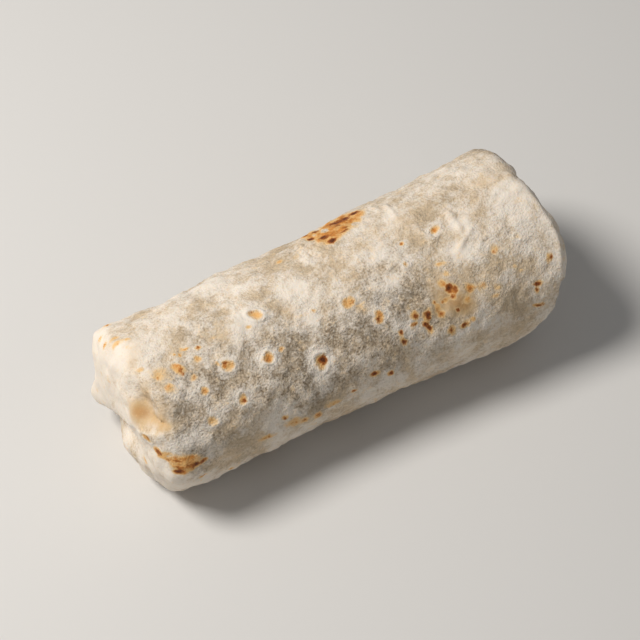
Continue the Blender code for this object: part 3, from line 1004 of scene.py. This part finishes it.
def dryness(skin):
    """Above 0 where the skin is floury and white, and below 0 where it is moist."""
    waves = sum(ripple.at(skin.plain) for ripple in DRY_RIPPLES)
    hidden = 1 - on_show(skin)
    return patch_field(skin, DRY_PATCHES) + waves * DRY_SWING * (1 + hidden) + HIDDEN_DRYNESS * hidden


def graininess(skin):
    """How grey and coarse-grained the skin is at every point."""
    elsewhere = HIDDEN_GRAININESS + GRAINY_RIPPLE.at(skin.plain)
    return patch_field(skin, GRAINY_PATCHES) + elsewhere * (1 - on_show(skin))


def puffs(skin, dry):
    """The sheet's soft puffs, as shares of their height."""
    return sum(ripple.at(skin.plain) for ripple in PUFF_RIPPLES) + DRY_PUFF * np.clip(dry, -1, 1)


def crinkles(skin, dry):
    """The sheet's fine crinkles, as shares of their height. Dry skin has fewer."""
    folded = 1 - 2 * np.sqrt(np.abs(CRINKLE_RIPPLE.at(skin.plain * CRINKLE_SQUEEZE)))
    return folded * (1 - CRINKLES_FADE * step(dry, CRINKLES_FADE_FROM, CRINKLES_FADE_TO))


def end_grid(rings):
    """A square grid wrapped onto a round end: each point's ring, from 0 in the middle, and its angle."""
    span = np.arange(-rings, rings + 1)
    across, up = np.meshgrid(span, span, indexing="ij")
    ring = np.maximum(abs(across), abs(up))
    size = np.maximum(ring, 1)
    angle = np.select(
        [across == ring, up == ring, across == -ring],
        [45.0 * up / size, 90.0 - 45.0 * across / size, 180.0 - 45.0 * up / size],
        270.0 + 45.0 * across / size,
    )
    return ring, angle % 360.0


def even_steps(start, end, count):
    """Values of t from an end's rim to its middle that lie at even distances on the skin."""
    t = np.linspace(start, end, PATH_POINTS)
    angles = np.linspace(0, 360, PATHS, endpoint=False)
    path = roll_point(t[:, None], angles[None, :])
    lengths = np.linalg.norm(np.diff(path, axis=0), axis=-1).mean(axis=1)
    travelled = np.concatenate([[0.0], np.cumsum(lengths)])
    return np.interp(np.linspace(0, travelled[-1], count + 1), travelled, t)


class SkinMesh:
    """The skin's points, faces and map: rings round the straight part, and a square grid on each end."""

    def __init__(self, points_round, rings):
        self.points_round = points_round
        # A square ring of an end's grid gains 8 points with each step from the middle.
        self.end_rings = points_round // 8
        columns = np.arange(points_round) * 360.0 / points_round
        t, v = np.meshgrid(np.linspace(0, 1, rings), columns, indexing="ij")
        self.t = [t.ravel()]
        self.v = [v.ravel()]
        self.faces = []
        self.map = []
        self.count = t.size
        self.body_faces(rings)
        self.end_faces(0, -1.0, 0, LEFT_END_UP_MAP)
        self.end_faces(1, 2.0, (rings - 1) * points_round, RIGHT_END_UP_MAP)
        self.t = np.concatenate(self.t)
        self.v = np.concatenate(self.v)
        self.faces = np.concatenate(self.faces)
        self.map = np.concatenate(self.map)

    def body_faces(self, rings):
        """Adds the faces between the rings, and their places on the map."""
        number = self.points_round
        ring, column = np.meshgrid(np.arange(rings - 1), np.arange(number), indexing="ij")
        ring, column = ring.ravel(), column.ravel()
        following = (column + 1) % number
        corners = [
            ring * number + column,
            ring * number + following,
            (ring + 1) * number + following,
            (ring + 1) * number + column,
        ]
        self.faces.append(np.stack(corners, axis=1))
        # The map is cut open along the underside.
        cut = number * 3 // 4
        low = (column - cut) % number / number
        high = low + 1 / number
        across = np.stack([ring, ring, ring + 1, ring + 1], axis=1) / (rings - 1) * BODY_ON_MAP
        up = np.stack([low, high, high, low], axis=1) * MAP_HEIGHT
        self.map.append(np.stack([across, up], axis=-1) + MAP_MARGIN)

    def end_faces(self, start, end, first_on_rim, map_height):
        """Adds one end's points and faces, joined to the ring at its rim, and their places on the map."""
        ring, angle = end_grid(self.end_rings)
        steps = even_steps(start, end, self.end_rings)
        inside = ring < self.end_rings
        index = np.zeros(ring.shape, dtype=int)
        index[inside] = self.count + np.arange(inside.sum())
        on_rim = np.round(angle[~inside] * self.points_round / 360.0).astype(int) % self.points_round
        index[~inside] = first_on_rim + on_rim
        self.count += inside.sum()
        self.t.append(steps[self.end_rings - ring[inside]])
        self.v.append(angle[inside])
        corners = [index[:-1, :-1], index[1:, :-1], index[1:, 1:], index[:-1, 1:]]
        faces = np.stack([corner.ravel() for corner in corners], axis=1)
        radius = ring / self.end_rings * END_RADIUS_ON_MAP
        places = np.stack(
            [
                ENDS_ACROSS_MAP + radius * np.cos(np.radians(angle)),
                map_height + radius * np.sin(np.radians(angle)),
            ],
            axis=-1,
        )
        spots = [places[:-1, :-1], places[1:, :-1], places[1:, 1:], places[:-1, 1:]]
        on_map = np.stack([spot.reshape(-1, 2) for spot in spots], axis=1)
        if end < start:
            faces = faces[:, ::-1]
            on_map = on_map[:, ::-1]
        self.faces.append(faces)
        self.map.append(on_map)


class Value:
    """A number that changes over a surface: a node's output, on which arithmetic adds Math nodes."""

    def __init__(self, finish, socket):
        self.finish = finish
        self.socket = socket

    def __add__(self, other):
        return self.finish.maths("ADD", self, other)

    def __sub__(self, other):
        return self.finish.maths("SUBTRACT", self, other)

    def __rsub__(self, other):
        return self.finish.maths("SUBTRACT", other, self)

    def __mul__(self, other):
        return self.finish.maths("MULTIPLY", self, other)

    __radd__ = __add__
    __rmul__ = __mul__


class Finish:
    """A material, and the one way in which nodes are added to it."""

    def __init__(self, name):
        self.material = bpy.data.materials.new(name)
        self.material.use_nodes = True
        self.tree = self.material.node_tree
        self.shader = self.tree.nodes["Principled BSDF"]

    def node(self, kind, settings, sockets, output=0):
        """Adds a node. Its settings are set first, then the values or links of its sockets."""
        node = self.tree.nodes.new(kind)
        for name, value in settings.items():
            setattr(node, name, value)
        for key, value in sockets.items():
            self.feed(self.socket(node.inputs, key), value)
        return Value(self, self.socket(node.outputs, output))

    def socket(self, sockets, key):
        """A node's socket by its number or its identifier."""
        if isinstance(key, int):
            return sockets[key]
        return next(socket for socket in sockets if socket.identifier == key)

    def feed(self, socket, value):
        """Links a socket to a node's output, or sets it. A colour setting also gets its alpha."""
        if isinstance(value, Value):
            self.tree.links.new(value.socket, socket)
        elif socket.type == "RGBA":
            socket.default_value = (*value, 1.0)
        else:
            socket.default_value = value

    def maths(self, operation, *terms):
        """A Math node on these values and numbers."""
        return self.node("ShaderNodeMath", {"operation": operation}, dict(enumerate(terms)))

    def rise(self, value, start, end):
        """0 below start, 1 above end, and a smooth rise between."""
        return self.node(
            "ShaderNodeMapRange",
            {"interpolation_type": "SMOOTHSTEP"},
            {"Value": value, "From Min": start, "From Max": end},
        )

    def ramp(self, value, start, end):
        """0 below start, 1 above end, and a straight rise between."""
        return self.node("ShaderNodeMapRange", {}, {"Value": value, "From Min": start, "From Max": end})

    def around(self, value, middle, width):
        """1 where the value is middle, falling smoothly to 0 at this distance from it."""
        return self.rise(self.maths("ABSOLUTE", value - middle), width, 0.0)

    def cells(self, place, size):
        """Distance from the middles of scattered cells of about this size, in shares of the size."""
        return self.node("ShaderNodeTexVoronoi", {}, {"Vector": place, "Scale": 1.0 / size}, "Distance")

    def blend(self, share, first, second):
        """The first colour, turning into the second as share rises to 1."""
        return self.node(
            "ShaderNodeMix",
            {"data_type": "RGBA"},
            {"Factor_Float": share, "A_Color": first, "B_Color": second},
            "Result_Color",
        )

    def measured(self, name):
        """A number that the mesh holds at each of its points."""
        return self.node("ShaderNodeAttribute", {"attribute_name": name}, {}, "Fac")

    def noise(self, place, size, detail=2.0, roughness=0.5, distortion=0.0):
        """Soft random shades, mostly between 0.2 and 0.8, with flecks of about this size."""
        return self.node(
            "ShaderNodeTexNoise",
            {},
            {
                "Vector": place,
                "Scale": 1.0 / size,
                "Detail": detail,
                "Roughness": roughness,
                "Distortion": distortion,
            },
        )

    def shade(self, **sockets):
        """Feeds the shader's own sockets, whose names have a space for each underscore."""
        for name, value in sockets.items():
            self.feed(self.shader.inputs[name.replace("_", " ")], value)


def colour(red, green, blue):
    """A display colour of 0 to 255 a channel, as light, by the standard curve of displays."""
    shares = np.array([red, green, blue]) / 255.0
    light = np.where(shares <= 0.04045, shares / 12.92, ((shares + 0.055) / 1.055) ** 2.4)
    return tuple(float(share) for share in light)


def colour_property(name, description, *display):
    return FloatVectorProperty(
        name=name,
        description=description,
        default=colour(*display),
        subtype="COLOR",
        min=0.0,
        max=1.0,
    )


def length_property(name, description, default):
    return FloatProperty(
        name=name, description=description, default=default, unit="LENGTH", subtype="DISTANCE", precision=5
    )


def place_property(name, description, default):
    return FloatVectorProperty(
        name=name, description=description, default=default, unit="LENGTH", subtype="XYZ", precision=5
    )


def angle_property(name, description, degrees):
    return FloatProperty(name=name, description=description, default=np.radians(degrees), subtype="ANGLE")


def power_property(name, description, default):
    return FloatProperty(name=name, description=description, default=default, unit="POWER")


def tint_property(name, description, default):
    return FloatVectorProperty(name=name, description=description, default=default, subtype="COLOR")


class TortillaSettings(bpy.types.PropertyGroup):
    """Sizes and colours of the griddled tortilla."""

    points_round: IntProperty(
        name="Points Round", description="Points round the roll, a multiple of 8", default=360, min=64
    )
    rings: IntProperty(name="Rings", description="Rings along the straight part", default=184, min=16)
    puff_height: length_property("Puff Height", "Height of the soft puffs in the sheet", 0.00042)
    rim_height: length_property("Rim Height", "Height of the rims round the blisters", 0.00045)
    grain_size: length_property("Grain Size", "Size of the fine floury grain", 0.0009)
    pore_spacing: length_property("Pore Spacing", "Distance between the pores", 0.0011)
    curd_size: length_property("Curd Size", "Size of the ragged flecks", 0.0036)
    char_size: length_property("Char Size", "Size of the flecks in browned skin", 0.0030)
    cloud_size: length_property("Cloud Size", "Size of the soft clouds of flour", 0.010)
    crinkle_height: length_property("Crinkle Height", "Height of the fine crinkles", 0.00014)
    glow: FloatProperty(
        name="Glow", description="How much light runs under the skin", default=0.08, min=0.0, max=1.0
    )
    glow_depth: length_property("Glow Depth", "How far light runs under the skin", 0.0016)
    floury: colour_property("Floury", "Dry, floury skin", 237, 227, 214)
    cream: colour_property("Cream", "Dry skin with less flour", 218, 196, 166)
    moist: colour_property("Moist", "Moist skin that lets the filling show through", 195, 175, 147)
    grey: colour_property("Grey", "Coarse-grained moist skin", 158, 146, 130)
    # Pore also paints the shade in the groove round each blister
    pore_and_groove_shade: colour_property("Pore", "The dark pores of moist skin", 118, 98, 74)
    # The next two colours are juice-stained skin, and they also paint shade: partly in the -X end's hollow,
    # wholly along its crease
    juice_and_shade: colour_property("Juice", "Skin stained by the filling's juice", 200, 164, 110)
    steeped_and_shade: colour_property("Steeped", "Skin steeped in juice", 184, 136, 80)
    straw: colour_property("Straw", "The pale edge of a toasted spot", 232, 198, 148)
    golden: colour_property("Golden", "Lightly toasted skin", 226, 178, 114)
    amber: colour_property("Amber", "Toasted skin", 208, 138, 66)
    brown: colour_property("Brown", "Well browned skin", 156, 88, 34)
    scorched: colour_property("Scorched", "The darkest specks", 94, 46, 18)


class StageSettings(bpy.types.PropertyGroup):
    """The floor, the lights and the camera."""

    floor_size: length_property("Floor Size", "Side of the floor", 8.0)
    floor: colour_property("Floor", "Floor colour", 215, 213, 210)
    camera_aim: place_property("Camera Aim", "The middle of the view", (-0.00153, 0.00331, 0.02982))
    camera_distance: length_property("Camera Distance", "From the middle of the view", 0.9668)
    camera_azimuth: angle_property("Camera Azimuth", "Angle round the burrito", -29.0)
    camera_elevation: angle_property("Camera Elevation", "Angle above the floor", 55.0)
    lens: FloatProperty(name="Lens", description="Focal length", default=140.0, subtype="DISTANCE_CAMERA")
    lights_aim: place_property("Lights Aim", "What both lights point at", (0.0, 0.0, 0.03))
    key_place: place_property("Key Place", "Where the main light stands", (-0.56, 0.28, 0.96))
    key_size: length_property("Key Size", "Across the main light", 0.42)
    key_power: power_property("Key Power", "Main light", 12.1)
    key_tint: tint_property("Key Tint", "Colour of the main light", (1.0, 0.97, 0.93))
    fill_place: place_property("Fill Place", "Where the light from the other side stands", (0.6, -0.8, 0.7))
    fill_size: length_property("Fill Size", "Across the light from the other side", 0.8)
    fill_power: power_property("Fill Power", "Light from the other side", 0.55)
    fill_tint: tint_property("Fill Tint", "Colour of the light from the other side", (1.0, 0.98, 0.96))
    air: FloatProperty(name="Air", description="Strength of the light from all round", default=0.20)
    air_tint: tint_property("Air Tint", "Colour of the light from all round", (0.96, 0.98, 1.0))


def bare_skin(finish, settings, fields):
    """Smooth beige and coarse grey moist skin with its pores, under clouds and flecks of flour."""
    grain, curd, cloud, pits, dry = (fields[name] for name in ("grain", "curd", "cloud", "pits", "dry"))
    flour = finish.rise(dry * 0.32 + cloud * 1.25 + curd * 1.4 + grain * 0.5, *FLOUR_RISE)
    sheer = finish.rise(fields["depth"] * 1.4 + curd * 0.6 - dry * 0.12, *SHEER_RISE)
    grainy = finish.rise(finish.measured("graininess") + cloud * 1.2 + curd * 0.8, *GRAINY_RISE)
    granular = (1 - flour * 0.60) * (0.35 + grainy * 0.65) * fields["rough"]
    pitted = finish.ramp(pits - grain * 1.2 - curd * 0.5, *PIT_RISE) * granular
    frost = finish.rise(grain * 1.3 + curd * 0.4 - pits * 0.25, *FROST_RISE) * granular
    skin = finish.blend(sheer, settings.cream, settings.moist)
    skin = finish.blend(grainy * (0.35 + sheer * 0.45), skin, settings.grey)
    skin = finish.blend(pitted * PIT_COVER, skin, settings.pore_and_groove_shade)
    skin = finish.blend(flour * FLOUR_COVER, skin, settings.floury)
    return finish.blend(frost * FROST_COVER, skin, settings.floury), flour


def stained_and_shaded(finish, settings, fields, skin):
    """Skin that the filling's juice has stained, and where it is strongest, steeped. The same colours are
    painted shade, partly in the -X end's hollow and wholly along its crease.
    """
    stain_and_shade = fields["juice_and_shade"] + fields["curd"] * 0.35
    soaked_and_shaded = finish.rise(stain_and_shade + fields["grain"] * 0.2, *JUICE_AND_SHADE_RISE)
    steeped_and_shade = finish.rise(stain_and_shade, *STEEPED_AND_SHADE_RISE)
    skin = finish.blend(soaked_and_shaded * JUICE_AND_SHADE_COVER, skin, settings.juice_and_shade)
    return finish.blend(steeped_and_shade * STEEPED_AND_SHADE_COVER, skin, settings.steeped_and_shade)


def blistered(finish, settings, fields, skin):
    """A floury halo and faint rings round each blister, painted shade in the groove between the rings, and
    the rings' relief in millimetres.
    """
    halo = finish.measured("halo")
    edge = finish.measured("blister") + fields["grain"] * 0.35 + fields["curd"] * 0.5
    ring, groove, outer_ring = (finish.around(edge, *place) * halo for place in (RING, GROOVE, OUTER_RING))
    powder = finish.rise(halo + fields["grain"] * 0.5 + fields["curd"] * 1.2, *POWDER_RISE)
    skin = finish.blend(powder * POWDER_COVER, skin, settings.floury)
    # Painted shade: the groove round each blister is darkened with the pore colour
    skin = finish.blend(groove * GROOVE_SHADE_COVER, skin, settings.pore_and_groove_shade)
    skin = finish.blend((ring + outer_ring * 0.5) * RING_COVER, skin, settings.floury)
    return skin, ring * RING_RELIEF - groove * GROOVE_RELIEF + outer_ring * OUTER_RING_RELIEF


def toasted(finish, settings, fields, skin):
    """Straw, golden, amber, brown and scorched skin, in that order towards the middle of each spot."""
    grain, curd, char = fields["grain"], fields["curd"], fields["char"]
    spotted = finish.rise(finish.measured("gold") + finish.measured("brown"), *SPOTTED_RISE)
    gold = finish.measured("gold") + curd * 0.80 + grain * 0.35 + char * 0.80
    brown = finish.measured("brown") + char * 1.7 + grain * 0.4
    amber = finish.rise(gold * 0.5 + curd * 1.4 + char * 2.0, *AMBER_RISE)
    browned = finish.rise(brown, *BROWN_RISE) * spotted
    scorched = finish.rise(brown, *SCORCHED_RISE) * spotted
    crust = finish.blend(amber, settings.golden, settings.amber)
    skin = finish.blend(finish.rise(gold, *STRAW_RISE) * STRAW_COVER, skin, settings.straw)
    skin = finish.blend(finish.rise(gold, *CRUST_RISE) * spotted, skin, crust)
    skin = finish.blend(browned, skin, settings.brown)
    return finish.blend(scorched, skin, settings.scorched), browned


def skin_fields(finish, settings):
    """The numbers that change over the skin and feed more than one of its finishes."""
    place = finish.node("ShaderNodeTexCoord", {}, {}, "Object")
    depth_size = settings.cloud_size * DEPTH_OVER_CLOUD
    fields = {
        "grain": finish.noise(place, settings.grain_size, detail=3.0, roughness=0.62) - 0.5,
        "curd": finish.noise(place, settings.curd_size, detail=4.0, roughness=0.66) - 0.5,
        "cloud": finish.noise(place, settings.cloud_size, detail=3.0, distortion=0.4) - 0.5,
        "char": finish.noise(place, settings.char_size, roughness=0.6) - 0.5,
        "depth": finish.noise(place, depth_size, detail=3.0, roughness=0.6) - 0.5,
        "pits": finish.cells(place, settings.pore_spacing),
        "dry": finish.measured("dryness"),
        "juice_and_shade": finish.measured("juice_and_shade"),
    }
    # Skin soaked with juice is smooth, and so is the painted shade in the -X end's hollow and crease.
    fields["rough"] = 1 - finish.rise(fields["juice_and_shade"], *SOAKED_RISE) * 0.75
    return fields


def tortilla_finish(settings):
    """Floury white and moist skin, stained and toasted where the mesh says, with its grain in relief."""
    finish = Finish("griddled_tortilla")
    fields = skin_fields(finish, settings)
    skin, flour = bare_skin(finish, settings, fields)
    skin = stained_and_shaded(finish, settings, fields, skin)
    skin, rings = blistered(finish, settings, fields, skin)
    skin, browned = toasted(finish, settings, fields, skin)

    grains = fields["grain"] * GRAIN_RELIEF + fields["curd"] * CURD_RELIEF - fields["pits"] * PIT_RELIEF
    coarse = fields["rough"] * (1 - finish.rise(fields["dry"], *SMOOTH_RISE) * 0.75)
    relief = {"Strength": 1.0, "Distance": MM, "Height": grains * coarse + rings}
    finish.shade(
        Base_Color=skin,
        Roughness=SKIN_ROUGHNESS + flour * FLOUR_ROUGHER - browned * BROWN_SMOOTHER,
        Normal=finish.node("ShaderNodeBump", {}, relief, "Normal"),
        Subsurface_Weight=settings.glow,
        Subsurface_Radius=GLOW_COLOURS,
        Subsurface_Scale=settings.glow_depth,
        Specular_IOR_Level=SKIN_SHINE,
    )
    return finish.material


def form_height(skin):
    """Height of the lumps, the free edge and the folds at every point."""
    height = lumps(skin.t, skin.v, skin.plain[:, 0]) + seam(skin.t, skin.v)
    return height + (left_folds(skin.t, skin.v) + right_folds(skin.t, skin.v))


def detail_height(skin, dry, rims, settings):
    """Height of the end's pleats, the blisters' rims, the puffs, the crinkles and the pleats."""
    height = end_pleats(skin.t, skin.v) + settings.rim_height * rims
    height = height + settings.puff_height * puffs(skin, dry)
    height = height + settings.crinkle_height * crinkles(skin, dry)
    return height + sum(pleat_profile(skin, pleat) for pleat in PLEATS)


def skin_points(skin, form, detail):
    """Places of the skin's points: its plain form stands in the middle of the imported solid's box."""
    plain = skin.base + skin.out * form[:, None]
    low, high = (np.array(corner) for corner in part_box(NODE))
    shift = (low + high) / 2 - (plain.min(axis=0) + plain.max(axis=0)) / 2
    points = skin.base + skin.out * (form + detail)[:, None]
    points[:, 2] = np.maximum(points[:, 2], 0.0)
    return points + [shift[0], shift[1], low[2]]


class BURRITO_OT_roll(bpy.types.Operator):
    """Build the rolled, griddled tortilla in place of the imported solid"""

    bl_idname = "burrito.roll"
    bl_label = "Roll Tortilla"

    def execute(self, context):
        settings = context.scene.burrito_tortilla
        grid = SkinMesh(settings.points_round, settings.rings)
        skin = Skin(grid.t, grid.v)
        gold, brown, halo, blister, rims = toasting(skin)
        dry = dryness(skin)
        measures = {
            "gold": gold,
            "brown": brown,
            "halo": halo,
            "blister": blister,
            "dryness": dry,
            "juice_and_shade": patch_field(skin, JUICE_STAINS_AND_SHADE),
            "graininess": graininess(skin),
        }
        points = skin_points(skin, form_height(skin), detail_height(skin, dry, rims, settings))

        mesh = bpy.data.meshes.new("tortilla_roll")
        mesh.from_pydata(points.tolist(), [], grid.faces.tolist())
        mesh.shade_smooth()
        layer = mesh.uv_layers.new(name=MAP_NAME)
        layer.uv.foreach_set("vector", grid.map.reshape(-1).astype(np.float32))
        for name, values in measures.items():
            attribute = mesh.attributes.new(name, "FLOAT", "POINT")
            attribute.data.foreach_set("value", values.astype(np.float32))
        mesh.materials.append(tortilla_finish(settings))
        roll = bpy.data.objects.new("tortilla_roll", mesh)
        context.scene.collection.objects.link(roll)
        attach(roll, "root")
        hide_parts(NODE)
        return {"FINISHED"}


def add_floor(scene, settings):
    """The plain floor that the burrito lies on."""
    half = settings.floor_size / 2
    mesh = bpy.data.meshes.new("floor")
    corners = [(-half, -half, 0), (half, -half, 0), (half, half, 0), (-half, half, 0)]
    mesh.from_pydata(corners, [], [(0, 1, 2, 3)])
    finish = Finish("pale_floor")
    finish.shade(Base_Color=settings.floor, Roughness=FLOOR_ROUGHNESS, Specular_IOR_Level=FLOOR_SHINE)
    mesh.materials.append(finish.material)
    floor = bpy.data.objects.new("floor", mesh)
    scene.collection.objects.link(floor)


def add_air(scene, settings):
    """The light from all round."""
    world = bpy.data.worlds.new("studio_air")
    world.use_nodes = True
    background = world.node_tree.nodes["Background"]
    background.inputs["Color"].default_value = (*settings.air_tint, 1.0)
    background.inputs["Strength"].default_value = settings.air
    scene.world = world


def add_light(scene, name, place, aim, size, power, tint):
    """A round soft light that points at its aim."""
    light = bpy.data.lights.new(name, "AREA")
    light.shape = "DISK"
    light.size = size
    light.energy = power
    light.color = tint
    lamp = bpy.data.objects.new(name, light)
    lamp.location = place
    lamp.rotation_euler = (Vector(aim) - Vector(place)).to_track_quat("-Z", "Y").to_euler()
    scene.collection.objects.link(lamp)


def add_camera(scene, settings):
    """The camera, looking at its aim from an angle round the burrito and an angle above the floor."""
    camera = bpy.data.cameras.new("camera")
    camera.lens = settings.lens
    camera.clip_start, camera.clip_end = CAMERA_CLIP
    azimuth, elevation = settings.camera_azimuth, settings.camera_elevation
    level = np.cos(elevation)
    back = Vector((np.sin(azimuth) * level, -np.cos(azimuth) * level, np.sin(elevation)))
    holder = bpy.data.objects.new("camera", camera)
    holder.location = Vector(settings.camera_aim) + back * settings.camera_distance
    holder.rotation_euler = (-back).to_track_quat("-Z", "Y").to_euler()
    scene.collection.objects.link(holder)
    scene.camera = holder


class BURRITO_OT_stage(bpy.types.Operator):
    """Set up the pale floor, the soft lights and the camera"""

    bl_idname = "burrito.stage"
    bl_label = "Set Stage"

    def execute(self, context):
        scene = context.scene
        settings = scene.burrito_stage
        key = (settings.key_place, settings.lights_aim, settings.key_size)
        fill = (settings.fill_place, settings.lights_aim, settings.fill_size)
        add_floor(scene, settings)
        add_air(scene, settings)
        add_light(scene, "key_light", *key, settings.key_power, settings.key_tint)
        add_light(scene, "fill_light", *fill, settings.fill_power, settings.fill_tint)
        add_camera(scene, settings)
        scene.view_settings.view_transform = "Standard"
        return {"FINISHED"}


class BURRITO_PT_sidebar(bpy.types.Panel):
    """The burrito's operators and settings"""

    bl_idname = "BURRITO_PT_sidebar"
    bl_label = "Burrito"
    bl_space_type = "VIEW_3D"
    bl_region_type = "UI"
    bl_category = "Burrito"

    def draw(self, context):
        for operator, settings in (
            ("burrito.roll", context.scene.burrito_tortilla),
            ("burrito.stage", context.scene.burrito_stage),
        ):
            self.layout.operator(operator)
            column = self.layout.column()
            for name in settings.__annotations__:
                column.prop(settings, name)


CLASSES = (TortillaSettings, StageSettings, BURRITO_OT_roll, BURRITO_OT_stage, BURRITO_PT_sidebar)


def register():
    """Registers the classes and hangs the settings on the scene."""
    for cls in CLASSES:
        bpy.utils.register_class(cls)
    bpy.types.Scene.burrito_tortilla = PointerProperty(type=TortillaSettings)
    bpy.types.Scene.burrito_stage = PointerProperty(type=StageSettings)


def unregister():
    """Takes the settings and the classes away again."""
    del bpy.types.Scene.burrito_stage
    del bpy.types.Scene.burrito_tortilla
    for cls in reversed(CLASSES):
        bpy.utils.unregister_class(cls)


def main():
    """Builds the burrito and its stage."""
    register()
    bpy.ops.burrito.roll()
    bpy.ops.burrito.stage()


if __name__ == "__main__":
    main()
